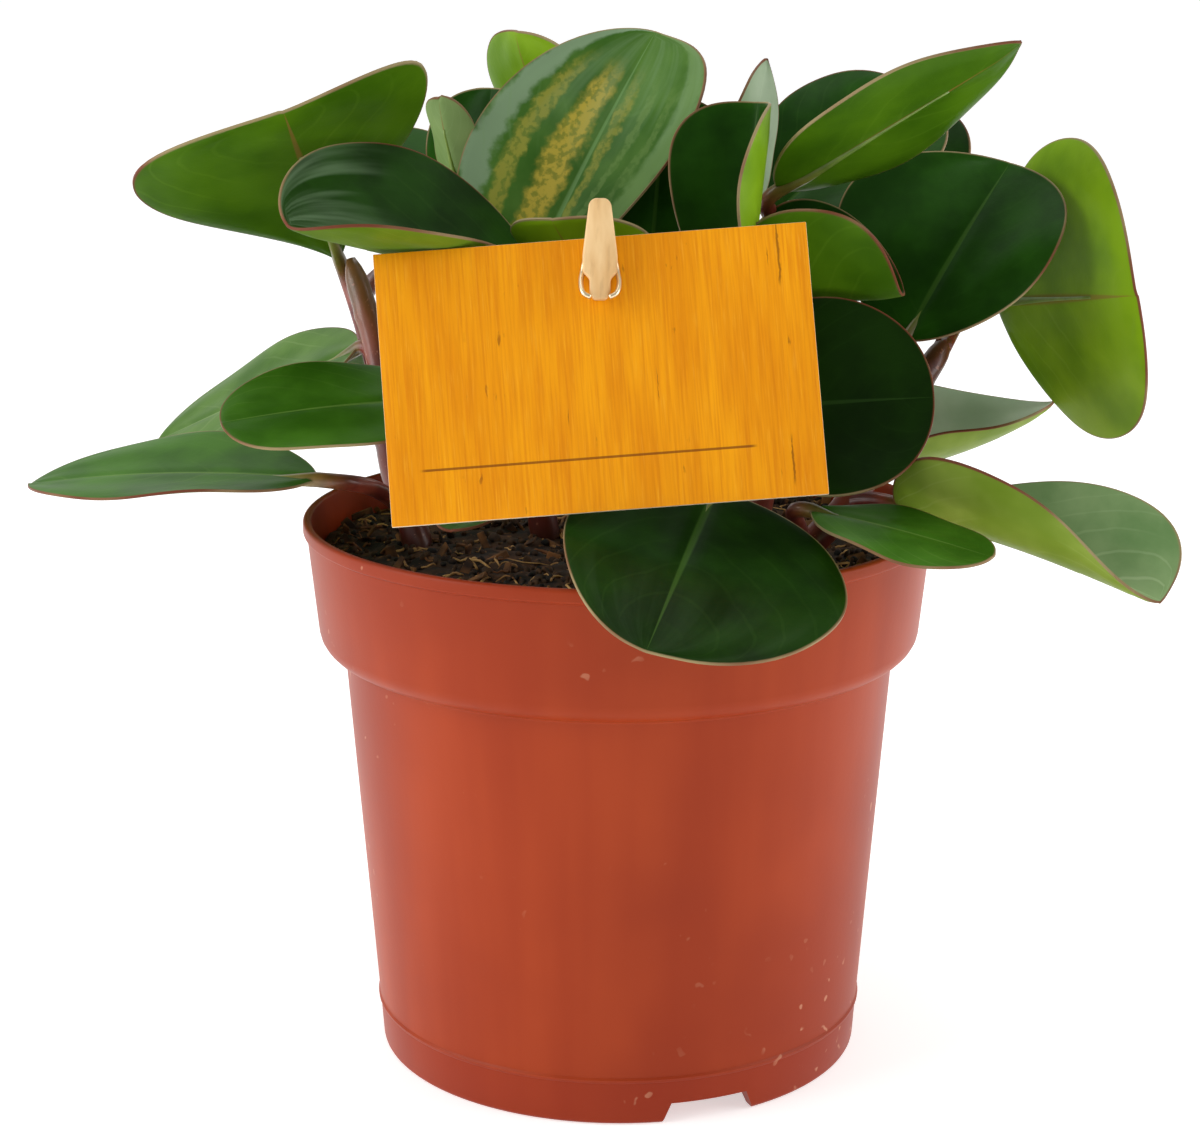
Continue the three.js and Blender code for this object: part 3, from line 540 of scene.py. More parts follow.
LEAVES = [
    # name, stem, height on it, base, tip, width, roll, droop, fold, cup, upper and under finish
    ("left_high", "left", 0.62,
     (-54, 18, 151), (-59, -27, 183), 58, 24, 15, 5, 5, "green", "green"),
    ("left_cupped", "centre_left", 0.97,
     (-13, -9, 150.2), (-57, -42, 165.1), 44, -18, 0, 27, 14, "dark_painted_sheen", "dull_lime"),
    ("left_front", "left", 0.45,
     (-26, -27, 132), (-70, -39, 130), 30, -19, 14, 0, 3, "green", "green"),
    ("left_pale", "left", 0.7, (-50, 9, 135.5), (-92, 28, 113.2), 37, -26, 0, 0, 0, "soft", "pale"),
    ("left_low", "left", 0.36,
     (-55, -24, 117), (-109, -16, 114), 35, -8, 14, 5, 0, "green", "green"),
    ("top_striped", "centre", 0.85,
     (-20, 6, 142), (7, 20, 194), 46, 30, 12, 12, 12, "striped", "green"),
    ("top_young", "back_left", 0.99,
     (-30, 24, 162), (-34, 18, 182), 11, 0, 0, 25, 15, "pale", "pale"),
    ("top_dark", "back_left", 0.84,
     (-28, 32, 156), (-25, 38, 182), 25, 0, 0, 8, 8, "dark", "green"),
    ("top_back", "centre", 0.97, (-7, 52, 156), (-20, 42, 193), 37, 0, 0, 8, 0, "green", "lime"),
    ("centre_small", "centre", 0.7,
     (0, -6, 143), (-12, -25, 164), 28, 8, 10, 12, 8, "dark", "lime"),
    ("centre_folded", "centre_right", 0.75,
     (20, -17, 144), (25, -8, 183), 32, -5, 0, 42, 12, "dark", "lime"),
    ("centre_edge", "centre_right", 0.97,
     (23.5, 9, 160), (28, 16, 189), 19, 84, 0, 5, 5, "pale", "pale"),
    ("centre_dark", "centre", 0.92, (6, 16, 148), (9, 25, 182), 34, 25, 0, 0, 0, "dark", "green"),
    ("right_bent", "centre_right", 0.9,
     (21, -7, 146), (51.5, -17, 149.5), 37, 5, 8, 62, 8, "dark", "green"),
    ("right_high", "right", 0.96,
     (29, -4, 167), (71, -16, 194.5), 34, -26, 0, 0, 0, "green", "green"),
    ("right_behind", "right", 0.97,
     (29, 28, 157), (60, 41, 181), 37, 30, 12, 8, 0, "dark", "green"),
    ("right_big", "right", 0.75, (53, -5, 139), (74, 12, 170), 44, 16, 10, 5, 5, "dark", "green"),
    ("right_far", "right_low", 0.97,
     (75, 29, 141), (94, -16, 149), 55, -80, 8, 5, 5, "green", "lime"),
    ("right_shade", "centre_right", 0.6,
     (18, -24, 129), (56, -29, 132.6), 38, 58, 12, 10, 0, "deep", "green"),
    ("right_pointed", "right", 0.5,
     (46, 14, 111), (86, 24, 122), 26, 0, -30, 50, 0, "pale", "pale_lime"),
    ("right_long", "right_low", 0.5,
     (51, -23, 112), (94.6, -47, 99.8), 38, 0, 10, 57, 0, "grey_green", "pale_lime"),
    ("right_low", "right_low", 0.31,
     (34, -36, 114), (64, -52, 109), 28, 8, 8, 0, 0, "green", "lime"),
    ("front", "centre_right", 0.5,
     (17, -34, 117), (4, -77.2, 99.3), 45, -16, 12, 0, 0, "broad", "green"),
    ("back_peak", "back_right", 0.97,
     (46, 46, 152), (66, 52, 177), 32, 30, 5, 8, 0, "dark", "green"),
    ("back_left_high", "back_left", 0.97,
     (-34, 50, 156), (-48, 98, 164), 46, 0, 15, 8, 5, "green", "green"),
    ("back_left_wide", "back_left", 0.8,
     (-38, 42, 129), (-64, 82, 113), 42, 5, 18, 6, 5, "dark", "green"),
    ("back_left_low", "back_left", 0.5,
     (-30, 46, 116), (-44, 98, 103), 46, 0, 20, 5, 5, "green", "green"),
    ("back_middle", "back_left", 0.9,
     (-22, 52, 148), (-4, 102, 152), 44, 0, 15, 10, 5, "dark", "green"),
    ("back_middle_low", "back_right", 0.5,
     (10, 50, 118), (4, 102, 108), 46, 0, 20, 6, 5, "dark", "green"),
    ("back_right_wide", "back_right", 0.85,
     (30, 54, 140), (44, 105, 138), 48, 0, 18, 6, 5, "green", "green"),
    ("back_right_low", "back_right", 0.6,
     (34, 52, 116), (54, 96, 98), 40, 0, 18, 5, 5, "green", "green"),
    ("back_right_high", "back_right", 0.93,
     (40, 58, 156), (56, 98, 170), 44, 0, 12, 10, 5, "dark", "green"),
    ("side_right", "right", 0.6, (50, 37, 117), (75, 61, 111), 34, 0, 12, 6, 5, "dark", "green"),
    ("inner_left", "left", 0.9, (-45, 27, 152), (-56, 58, 172), 38, 0, 5, 12, 8, "dark", "green"),
    ("inner_back", "back_right", 0.8,
     (12, 46, 150), (14, 68, 175), 38, 0, 8, 10, 8, "green", "green"),
    ("side_left", "left", 0.6, (-54, 20, 122), (-80, 52, 104), 36, 0, 12, 5, 5, "dark", "green"),
    ("soil_small", "centre_left", 0.33,
     (-19, -13, 112), (-30, -36, 110), 13, 0, 10, 8, 5, "green", "green"),
]


class Leaf:
    """The form of one blade: its midrib, and the surface to each side of it."""

    def __init__(self, base, tip, width, roll, droop, fold, cup, left=ALIKE, right=ALIKE):
        self.halves = {1: left, -1: right}
        self.base = Vector(base)
        self.along = Vector(tip) - self.base
        self.chord = self.along.length
        self.along.normalize()
        self.width = width
        self.droop = math.radians(droop)
        self.fold = math.radians(fold)
        self.curl = math.radians(cup) / (width / 2)
        up = Vector((0, 0, 1))
        self.up = (up - self.along * self.along.z).normalized()
        self.up.rotate(Quaternion(self.along, math.radians(roll)))
        self.left = self.up.cross(self.along)

    def rib(self, share):
        """A point of the midrib, its direction, and the way its upper face looks."""
        angle = self.droop / 2 - self.droop * share
        run, rise = self.chord * share, 0.0
        if self.droop:
            radius = self.chord / 2 / math.sin(self.droop / 2)
            run = radius * (math.sin(self.droop / 2) - math.sin(angle))
            rise = radius * (math.cos(angle) - math.cos(self.droop / 2))
        point = self.base + self.along * run + self.up * rise
        heading = self.along * math.cos(angle) + self.up * math.sin(angle)
        normal = self.up * math.cos(angle) - self.along * math.sin(angle)
        return point, heading, normal

    def half_width(self, share, hand):
        part, low, high, extra = self.halves[hand]
        peak = low / (low + high)
        full = share ** low * (1 - share) ** high / (peak ** low * (1 - peak) ** high)
        return self.width / 2 * part * full

    def surface(self, share, side, phase):
        """A point of the upper face, side from -1 on the right to 1 on the left."""
        point, heading, normal = self.rib(share)
        hand = 1 if side > 0 else -1
        reach = abs(side) * self.half_width(share, hand)
        fold = self.fold + math.radians(self.halves[hand][3])
        bent = FOLD_ROUND / max(reach, 1e-6) * (1 - math.exp(-reach / FOLD_ROUND))
        middle = fold * (1 - bent) + self.curl * reach / 2
        place = (point + self.left * hand * reach * math.cos(middle)
                 + normal * reach * math.sin(middle))
        slope = fold * (1 - math.exp(-reach / FOLD_ROUND)) + self.curl * reach
        outward = normal * math.cos(slope) - self.left * hand * math.sin(slope)
        channel = CHANNEL_DEPTH * math.exp(-(reach / CHANNEL_WIDTH) ** 2) * (1 - share) ** 0.4
        spot = Vector((side * 2.2 * self.width / 40, share * 3.2 * self.chord / 60, 10 * phase))
        swell = SWELL_HEIGHT * noise.noise(spot) * min(1, abs(side) * 2)
        ripple = math.sin(2 * math.pi * (WAVES * share + phase)) * math.sin(math.pi * share)
        wave = WAVE_HEIGHT * abs(side) ** 3 * ripple
        return place + outward * (wave + swell - channel)


def blade_mesh(leaf, phase):
    """The blade's upper face: a grid, pulled round into a disc and laid on the leaf's form."""
    shape = bmesh.new()
    sheet = shape.loops.layers.uv.new("UVMap")
    margin = shape.verts.layers.float.new("margin")
    fullness = shape.verts.layers.deform.verify()
    bmesh.ops.create_grid(shape, x_segments=ACROSS, y_segments=ALONG, size=1)
    spots = {}
    for vert in shape.verts:
        across = -vert.co.x * abs(vert.co.x) ** GRID_GATHER
        round_x = across * math.sqrt(1 - vert.co.y ** 2 / 2)
        round_y = vert.co.y * math.sqrt(1 - across ** 2 / 2)
        share = (1 + round_y) / 2
        half = math.sqrt(max(0.0, 1 - round_y ** 2))
        side = max(-1.0, min(1.0, round_x / half)) if half > 1e-6 else 0.0
        share = min(max(share, 1e-5), 1 - 1e-5)
        spots[vert] = (side, share)
        inside = 1 - math.hypot(round_x, round_y)
        vert[margin] = inside * (leaf.width / 2 + (leaf.chord - leaf.width) / 2 * abs(round_y))
        vert[fullness][0] = min(1.0, vert[margin] / MARGIN_TAPER) ** 0.7
        vert.co = leaf.surface(share, side, phase) * MM
    for face in shape.faces:
        for loop in face.loops:
            side, share = spots[loop.vert]
            loop[sheet].uv = (0.5 + side / 2, share)
    return shape


def veins(tree, side, along):
    """Thin lines that arch from the midrib to the tip, 1 on a vein."""
    bow = times(tree, times(tree, side, side), 0.3)
    run = maths(tree, "SUBTRACT", along, times(tree, side, 0.25))
    run = maths(tree, "SUBTRACT", run, bow)
    place = add(tree, "TexCoord").outputs["Object"]
    run = maths(tree, "ADD", run, drift(tree, grain(tree, place, 50), VEIN_SWING))
    swing = maths(tree, "COSINE", times(tree, run, 2 * math.pi * SIDE_VEINS))
    faint = step(tree, grain(tree, place, 38), 0.42, 0.68)
    return times(tree, step(tree, swing, 0.9, 1.0), faint)


def leaf_parts(tree):
    """Where on the leaf: side from 0 at the midrib to 1, along, mm from the margin, -1 to 1, UV."""
    sheet = add(tree, "UVMap", uv_map="UVMap").outputs["UV"]
    split = add(tree, "SeparateXYZ", {0: sheet})
    left = maths(tree, "SUBTRACT", times(tree, split.outputs["X"], 2), 1)
    side = maths(tree, "ABSOLUTE", left)
    margin = add(tree, "Attribute", attribute_name="margin").outputs["Fac"]
    return side, split.outputs["Y"], margin, left, sheet


def midrib_line(tree, side, along, wide):
    """1 on the midrib, thinner towards the tip."""
    thin = times(tree, maths(tree, "SUBTRACT", 1.15, along), wide)
    return inverse(tree, step(tree, side, times(tree, thin, 0.4), thin))


def edged(tree, place, margin, base):
    """A leaf's colour with its margin over it: red-brown, and paler in places."""
    pale = step(tree, grain(tree, place, 30), 0.4, 0.62)
    tone = blend(tree, pale, (112, 62, 44), (150, 134, 96))
    return blend(tree, inverse(tree, step(tree, margin, 0.05, 0.38)), base, tone)


def upper_finish(name, dark, light, vein, show, stripes_and_sheen=(), painted_sheen=0.0):
    """The glossy upper face, with its stripes, and pale bands and streaks that paint the sheen the
    leaf catches.
    """
    material, tree, shader, place = finish("leaf_upper_" + name, 0.36, specular=0.06)
    side, along, margin, left, sheet = leaf_parts(tree)
    mottle = grain(tree, place, 75, detail=4)
    base = blend(tree, step(tree, mottle, 0.3, 0.72), dark, light)
    # a mottled band is a stripe of the leaf's own colour; a plain band is painted sheen along an
    # edge
    for middle, half, tone, strength, mottled in stripes_and_sheen:
        wander = drift(tree, grain(tree, place, 55), 0.22)
        off = maths(tree, "SUBTRACT", maths(tree, "ADD", left, wander), middle)
        off = maths(tree, "ABSOLUTE", off)
        ragged = maths(tree, "ADD", off, drift(tree, grain(tree, place, 420), 0.16))
        band = inverse(tree, step(tree, ragged, half * 0.55, half * 1.3))
        if mottled:
            flecks = times(tree, step(tree, grain(tree, place, 800, detail=2), 0.36, 0.6), 0.7)
            ends = times(tree, step(tree, along, 0.9, 0.72), step(tree, along, 0.05, 0.2))
            band = times(tree, times(tree, band, ends), maths(tree, "ADD", flecks, 0.45))
            band = maths(tree, "MINIMUM", band, 1)
        base = blend(tree, times(tree, band, strength), base, tone)
    # painted sheen: pale streaks along the leaf, stronger toward its tip, standing in for the
    # highlight it catches
    if painted_sheen:
        streaks = step(tree, grain(tree, sheet, 9, squeeze=(1, 0.12, 1)), 0.42, 0.68)
        painted_shine = times(tree, times(tree, streaks, step(tree, along, 0.45, 0.85)), painted_sheen)
        base = blend(tree, painted_shine, base, (128, 156, 118))
    lines = times(tree, veins(tree, side, along), show)
    base = blend(tree, lines, base, vein)
    rib = times(tree, midrib_line(tree, side, along, 0.045), 0.28 + show)
    base = blend(tree, rib, base, vein)
    base = edged(tree, place, margin, base)
    skin = relief(tree, grain(tree, place, 1500), 0.02)
    skin = relief(tree, mottle, 0.12, skin)
    gloss = add(tree, "MapRange", {"Value": mottle, "To Min": 0.30, "To Max": 0.42})
    wear(tree, shader, base, skin, gloss.outputs["Result"])
    return material


def under_finish(name, dark, light, vein):
    """The duller underside, paler than the upper face, with a brownish midrib."""
    material, tree, shader, place = finish("leaf_under_" + name, 0.44, specular=0.1)
    side, along, margin, left, sheet = leaf_parts(tree)
    mottle = grain(tree, place, 60, detail=3)
    base = blend(tree, step(tree, mottle, 0.3, 0.7), dark, light)
    lines = times(tree, veins(tree, side, along), 0.16)
    base = blend(tree, lines, base, vein)
    rib = times(tree, midrib_line(tree, side, along, 0.05), 0.6)
    base = blend(tree, rib, base, (140, 96, 50))
    base = edged(tree, place, margin, base)
    wear(tree, shader, base, relief(tree, grain(tree, place, 1300), 0.03))
    return material


def stalk_finish():
    """Red-brown at the stem, green where it runs into the blade."""
    material, tree, shader, place = finish("leaf_stalk", 0.38, coat=0.2)
    along = add(tree, "Attribute", attribute_name="along").outputs["Fac"]
    tone = grain(tree, place, 170)
    red = blend(tree, step(tree, tone, 0.3, 0.7), (96, 30, 24), (140, 62, 44))
    green = blend(tree, step(tree, tone, 0.3, 0.7), (92, 122, 40), (120, 146, 58))
    base = blend(tree, step(tree, along, 0.35, 0.72), red, green)
    wear(tree, shader, base, relief(tree, tone, 0.15))
    return material


YELLOW = (172, 154, 58)
PALE_GREEN = (104, 132, 70)
OLIVE = (142, 140, 56)
STRIPES_AND_EDGE_SHEEN = [  # middle and half width across the leaf, colour, strength, mottled or plain
    (0.22, 0.13, YELLOW, 0.95, True),
    (0.60, 0.09, OLIVE, 0.8, True),
    (-0.12, 0.07, OLIVE, 0.6, True),
    (-0.36, 0.05, PALE_GREEN, 0.5, True),
    (-0.60, 0.05, PALE_GREEN, 0.4, True),
    # the two plain bands along the edges are painted sheen, the pale light those edges catch
    (0.88, 0.12, (124, 148, 116), 0.85, False),
    (-0.86, 0.14, (110, 140, 84), 0.6, False),
]
UPPER_FINISHES = [  # name, dark, light, veins, how much they show, stripes and painted edge sheen, painted sheen streaks
    ("broad", (12, 35, 2), (26, 58, 6), (84, 122, 50), 0.05, (), 0.04),
    ("deep", (13, 34, 3), (22, 50, 5), (52, 84, 34), 0.08),
    ("dark", (20, 54, 5), (36, 80, 12), (84, 122, 50), 0.05),
    ("green", (46, 88, 14), (68, 116, 26), (118, 150, 72), 0.2),
    # pale: a grey-green upper face, lightened past its own colour to paint the sheen it catches
    ("pale", (160, 182, 148), (186, 202, 174), (196, 208, 180), 0.2),
    ("soft", (62, 98, 30), (90, 124, 54), (132, 156, 100), 0.25),
    # grey_green: the leaf's own grey-green, lightened to paint the sheen its upper face catches
    ("grey_green", (104, 138, 84), (138, 164, 112), (176, 196, 150), 0.4),
    # a dark leaf with strong painted sheen: pale streaks toward its tip, for the highlight it
    # catches
    ("dark_painted_sheen", (20, 48, 5), (34, 72, 12), (84, 122, 50), 0.05, (), 0.6),
    ("striped", (50, 88, 28), (78, 114, 46), (112, 148, 90), 0.2, STRIPES_AND_EDGE_SHEEN, 0.3),
]
UNDER_FINISHES = [  # name, dark, light, veins
    ("green", (56, 94, 6), (78, 118, 12), (112, 150, 44)),
    ("lime", (98, 138, 8), (128, 166, 24), (160, 190, 70)),
    ("dull_lime", (74, 106, 14), (102, 128, 30), (140, 160, 74)),
    ("pale", (112, 138, 80), (136, 160, 100), (164, 184, 132)),
    ("pale_lime", (104, 130, 34), (138, 158, 66), (176, 188, 118)),
]
UPPER = {row[0]: upper_finish(*row) for row in UPPER_FINISHES}
UNDER = {row[0]: under_finish(*row) for row in UNDER_FINISHES}
LEAF_STALK = stalk_finish()


def stalk_run(leaf, start):
    """The stalk's line: out of the stem, up and round to the blade, then on below the midrib."""
    point, heading, normal = leaf.rib(0)
    meet = point - normal * LEAF_THICKNESS / 2
    reach = (meet - start).length
    leave = start.lerp(meet, 0.35) + Vector((0, 0, 0.12 * reach))
    arrive = meet - heading * 0.35 * reach
    run, radii = [], []
    for count in range(STALK_STEPS + 1):
        share = count / STALK_STEPS
        rest = 1 - share
        run.append(start * rest ** 3 + leave * 3 * rest ** 2 * share
                   + arrive * 3 * rest * share ** 2 + meet * share ** 3)
        radii.append(STALK_RADIUS[0] + (STALK_RADIUS[1] - STALK_RADIUS[0]) * share)
    for count in range(1, STALK_STEPS + 1):
        part = count / STALK_STEPS
        share = RIB_END * part
        point, heading, normal = leaf.rib(share)
        radius = STALK_RADIUS[2] + (STALK_RADIUS[1] - STALK_RADIUS[2]) * (1 - part) ** 2.2
        sunk = LEAF_THICKNESS * (0.5 + 0.62 * min(1, share / 0.12))
        run.append(point - normal * sunk)
        radii.append(radius)
    return run, radii


for name, stem, at, base, tip, width, roll, droop, fold, cup, upper, under in LEAVES:
    leaf = Leaf(base, tip, width, roll, droop, fold, cup, *HALVES.get(name, ()))
    phase = random.Random("leaf_" + name).random()
    blade = piece(f"leaf_{name}_blade", blade_mesh(leaf, phase),
                  [UPPER[upper], UNDER[under], LEAF_STALK],
                  crease=180, stands_for=["leaf_" + name])
    body = blade.modifiers.new("Thickness", "SOLIDIFY")
    body.thickness = LEAF_THICKNESS * MM
    body.offset = -1
    body.material_offset = 1
    body.vertex_group = blade.vertex_groups.new(name="Fullness").name
    body.thickness_vertex_group = MARGIN_THICKNESS
    edge = blade.modifiers.new("Rounded margin", "BEVEL")
    edge.width = MARGIN_ROUND * MM
    edge.segments = 3
    edge.limit_method = "ANGLE"
    edge.angle_limit = math.radians(55)
    settle(blade)
    whole = bmesh.new()
    whole.from_mesh(blade.data)
    along = whole.verts.layers.float.new("along")
    run, radii = stalk_run(leaf, smooth_run(stem_runs[stem], at))
    sweep(whole, run, radii, sides=10, layer=along, number=2)
    whole.to_mesh(blade.data)
    whole.free()

# Stick
# A thin round stick of pale wood behind the card, cut from a rod. Its foot is pushed into the
# soil, it leans back a little, and the peg grips it and the card together.
STICK_RADIUS = 1.5
STICK_STEPS = 24
STICK_WEAR = 0.03  # how much thinner or thicker it is in places, of its radius
STICK_ENDS = (Vector((-4, -44.8, 76)), Vector((-4, -35.3, 160)))
CARD_LEAN = math.radians(19.5)


def wood_finish(name, dark, light, lean):
    """Bare wood, with its grain up along a piece that leans back."""
    material, tree, shader, place = finish(name, 0.6)
    fine = grain(tree, place, 900, detail=4, squeeze=(1, 1, 0.05), turn=(lean, 0, 0))
    broad = grain(tree, place, 260, squeeze=(1, 1, 0.12), turn=(lean, 0, 0))
    base = blend(tree, step(tree, broad, 0.3, 0.7), dark, light)
    lines = times(tree, step(tree, fine, 0.5, 0.75), 0.35)
    base = blend(tree, lines, base, (150, 104, 58))
    wear(tree, shader, base, relief(tree, fine, 0.08))
    return material


stick_shape = bmesh.new()
stick_run, stick_radii = [], []
for count in range(STICK_STEPS + 1):
    stick_run.append(STICK_ENDS[0].lerp(STICK_ENDS[1], count / STICK_STEPS))
    rough = noise.noise(Vector((0, 0, count * 0.9)))
    stick_radii.append(STICK_RADIUS * (1 - STICK_WEAR * rough))
sweep(stick_shape, stick_run, stick_radii, sides=20)
stick_wood = wood_finish("stick_wood", (206, 170, 118), (222, 190, 142), 0.11)
piece("stick_wood", stick_shape, [stick_wood], crease=50, stands_for=["stick"])

# Card
# A stiff paperboard label, printed on its front with planks of orange wood, pale on its back
# and on its cut edges. It leans back on the stick, and hangs a little askew.
CARD_SIZE = (75, 47.5, 1.0)
CARD_ROLL = math.radians(4.4)
CARD_EDGE = 0.12
TAG_MIDDLE = Matrix.Translation(Vector((-3.6, -45, 139.6)) * MM)
TAG_PLACE = TAG_MIDDLE @ Matrix.Rotation(-CARD_LEAN, 4, "X")
CARD_PLACE = TAG_PLACE @ Matrix.Rotation(-CARD_ROLL, 4, "Y")
CRACKS = [  # place across, foot and head up the card, width
    (0.925, 0.03, 0.24, 0.0032), (0.93, 0.76, 1.05, 0.0034), (0.905, 0.84, 0.93, 0.002),
    (0.895, 0.05, 0.12, 0.002), (0.42, 0.3, 0.4, 0.0012), (0.63, 0.37, 0.52, 0.0012),
]
RULE_HEIGHT = 0.195  # of the thin printed line, up from the foot of the card
RULE_ENDS = (0.09, 0.83)


def printed_wood():
    """The card's front: fine and broad grain, bright and dark bits, cracks and a thin line."""
    material, tree, shader, place = finish("printed_wood", 0.5, specular=0.15)
    sheet = add(tree, "UVMap", uv_map="UVMap").outputs["UV"]
    split = add(tree, "SeparateXYZ", {0: sheet})
    across, up = split.outputs["X"], split.outputs["Y"]
    fine = grain(tree, sheet, 150, detail=5, squeeze=(1, 0.02, 1))
    broad = grain(tree, sheet, 11, detail=2, squeeze=(1, 0.12, 1))
    base = blend(tree, step(tree, broad, 0.3, 0.7), (226, 142, 4), (240, 160, 9))
    lines = times(tree, step(tree, fine, 0.35, 0.75), 0.55)
    base = blend(tree, lines, base, (202, 108, 3))
    threads = grain(tree, sheet, 230, detail=2, squeeze=(1, 0.03, 1))
    bright = times(tree, step(tree, threads, 0.55, 0.75), 0.35)
    base = blend(tree, bright, base, (242, 174, 48))
    knots = step(tree, grain(tree, sheet, 60, detail=3, squeeze=(1, 0.16, 1)), 0.66, 0.74)
    patch = step(tree, grain(tree, sheet, 5), 0.52, 0.62)
    base = blend(tree, times(tree, times(tree, knots, patch), 0.6), base, (128, 62, 6))
    bent = drift(tree, grain(tree, sheet, 16, squeeze=(0.2, 1, 1)), 0.012)
    bent = maths(tree, "ADD", across, bent)
    for middle, low, high, wide in CRACKS:
        off = maths(tree, "ABSOLUTE", maths(tree, "SUBTRACT", bent, middle))
        swell = {"Value": grain(tree, sheet, 24), "From Min": 0.35, "From Max": 0.65,
                 "To Min": wide * 0.35, "To Max": wide * 1.5}
        swell = add(tree, "MapRange", swell).outputs["Result"]
        crack = step(tree, off, swell, times(tree, swell, 0.2))
        inside = times(tree, step(tree, up, low, low + 0.05), step(tree, up, high, high - 0.05))
        base = blend(tree, times(tree, times(tree, crack, inside), 0.7), base, (104, 48, 6))
    off = maths(tree, "ABSOLUTE", maths(tree, "SUBTRACT", up, RULE_HEIGHT))
    line = inverse(tree, step(tree, off, 0.003, 0.006))
    inside = times(tree, step(tree, across, RULE_ENDS[0] - 0.02, RULE_ENDS[0]),
                   step(tree, across, RULE_ENDS[1] + 0.02, RULE_ENDS[1]))
    base = blend(tree, times(tree, times(tree, line, inside), 0.75), base, (104, 50, 10))
    wear(tree, shader, base, relief(tree, fine, 0.03))
    return material


def board_finish():
    material, tree, shader, place = finish("paperboard", 0.75)
    fibres = grain(tree, place, 700, detail=4)
    base = blend(tree, fibres, (214, 196, 160), (236, 224, 196))
    wear(tree, shader, base, relief(tree, fibres, 0.03))
    return material


card_shape = bmesh.new()
sheet_map = card_shape.loops.layers.uv.new("UVMap")
bmesh.ops.create_grid(card_shape, x_segments=30, y_segments=20, size=0.5, calc_uvs=True)
facing = Matrix.Rotation(math.pi / 2, 4, "X")
size = Matrix.Diagonal((CARD_SIZE[0] * MM, 1, CARD_SIZE[1] * MM, 1))
front = Matrix.Translation((0, -CARD_SIZE[2] / 2 * MM, 0))
bmesh.ops.transform(card_shape, verts=card_shape.verts[:],
                    matrix=CARD_PLACE @ front @ size @ facing)
card = piece("card_board", card_shape, [printed_wood(), board_finish()], crease=40,
             stands_for=["card"])
board = card.modifiers.new("Thickness", "SOLIDIFY")
board.thickness = CARD_SIZE[2] * MM
board.offset = -1
board.material_offset = 1
board.material_offset_rim = 1
card_edge = card.modifiers.new("Cut edge", "BEVEL")
card_edge.width = CARD_EDGE * MM
card_edge.segments = 2
card_edge.limit_method = "ANGLE"
settle(card)

# Peg
# A mini clothes peg that clips the card to the stick: two halves of pale birch, their jaws down,
# and a steel spring, coiled between them above the card and hooked round the front jaw.
PEG_OUTLINE = [  # half its width, and the height from the end of the jaws
    (1.1, 0), (1.8, 1.2), (1.8, 3.6), (3.0, 4.8), (3.0, 7.6), (2.4, 12.6), (1.9, 16.6), (1.1, 17.4),
]
PEG_THICKNESS = 2.6
PEG_EDGE = 0.45
PEG_OPEN = math.radians(7)
PEG_JAW_HEIGHT = CARD_SIZE[1] / 2 - 11.1
PEG_GAP = 0.3
STICK_LEAN = math.atan2(9.5, 84)
PEG_BACK_DEPTH = CARD_SIZE[2] / 2 + 2 * PEG_GAP + 2 * STICK_RADIUS + 2.6
WIRE_RADIUS = 0.45
WIRE_STEPS = 300
COIL_RADIUS = 1.5
COIL_TURNS = 5
COIL_STEPS = 60
COIL_REACH = 1.8  # from the middle of the coil to each end of it
COIL_HEIGHT = CARD_SIZE[1] / 2 + COIL_RADIUS + 0.9
WIRE_ARM = [  # half the width, depth, and height above the end of the jaws
    (1.8, -0.4, 11.9), (2.1, -1.1, 10.4), (2.5, -1.3, 7.5), (3.0, -1.5, 5.0), (3.3, -2.6, 2.8),
    (2.8, -3.9, 0.7), (1.6, -4.1, 0),
]


def peg_half(name, depth, turn, node):
    """One wooden half: its outline pushed through, with soft edges."""
    shape = bmesh.new()
    right = [shape.verts.new(Vector((x, 0, z)) * MM) for x, z in PEG_OUTLINE]
    left = [shape.verts.new(Vector((-x, 0, z)) * MM) for x, z in reversed(PEG_OUTLINE)]
    push_out(shape, right + left, (0, -PEG_THICKNESS * MM, 0))
    bmesh.ops.recalc_face_normals(shape, faces=shape.faces[:])
    sharp = [edge for edge in shape.edges if edge.calc_face_angle(0) > math.radians(25)]
    bmesh.ops.bevel(shape, geom=sharp, offset=PEG_EDGE * MM, segments=3, profile=0.5,
                    affect="EDGES", material=-1)
    spot = TAG_PLACE @ Matrix.Translation(Vector((0, depth, PEG_JAW_HEIGHT)) * MM)
    bmesh.ops.transform(shape, verts=shape.verts[:], matrix=spot @ Matrix.Rotation(turn, 4, "X"))
    piece(name, shape, [peg_wood], crease=40, stands_for=[node])


peg_wood = wood_finish("peg_wood", (214, 168, 108), (238, 204, 150), CARD_LEAN)
peg_half("peg_front_wood", -CARD_SIZE[2] / 2 - PEG_GAP, PEG_OPEN, "peg_front")
peg_half("peg_back_wood", PEG_BACK_DEPTH + PEG_THICKNESS, CARD_LEAN - STICK_LEAN, "peg_back")


def wire_arm(hand):
    """One arm of the spring, from the coil down to the hook round the front jaw."""
    return [Vector((hand * wide, deep, PEG_JAW_HEIGHT + high)) for wide, deep, high in WIRE_ARM]


coil = []
for count in range(1, COIL_STEPS):
    share = count / COIL_STEPS
    angle = 2 * math.pi * COIL_TURNS * share
    coil.append(Vector((COIL_REACH * (1 - 2 * share), 0.5 + COIL_RADIUS * math.cos(angle),
                        COIL_HEIGHT + COIL_RADIUS * math.sin(angle))))
bends = wire_arm(1)[::-1] + coil + wire_arm(-1)
wire_points = [smooth_run(bends, count / WIRE_STEPS) for count in range(WIRE_STEPS + 1)]
wire_shape = bmesh.new()
sweep(wire_shape, wire_points, [WIRE_RADIUS] * len(wire_points), sides=8)
bmesh.ops.transform(wire_shape, verts=wire_shape.verts[:], matrix=TAG_PLACE)


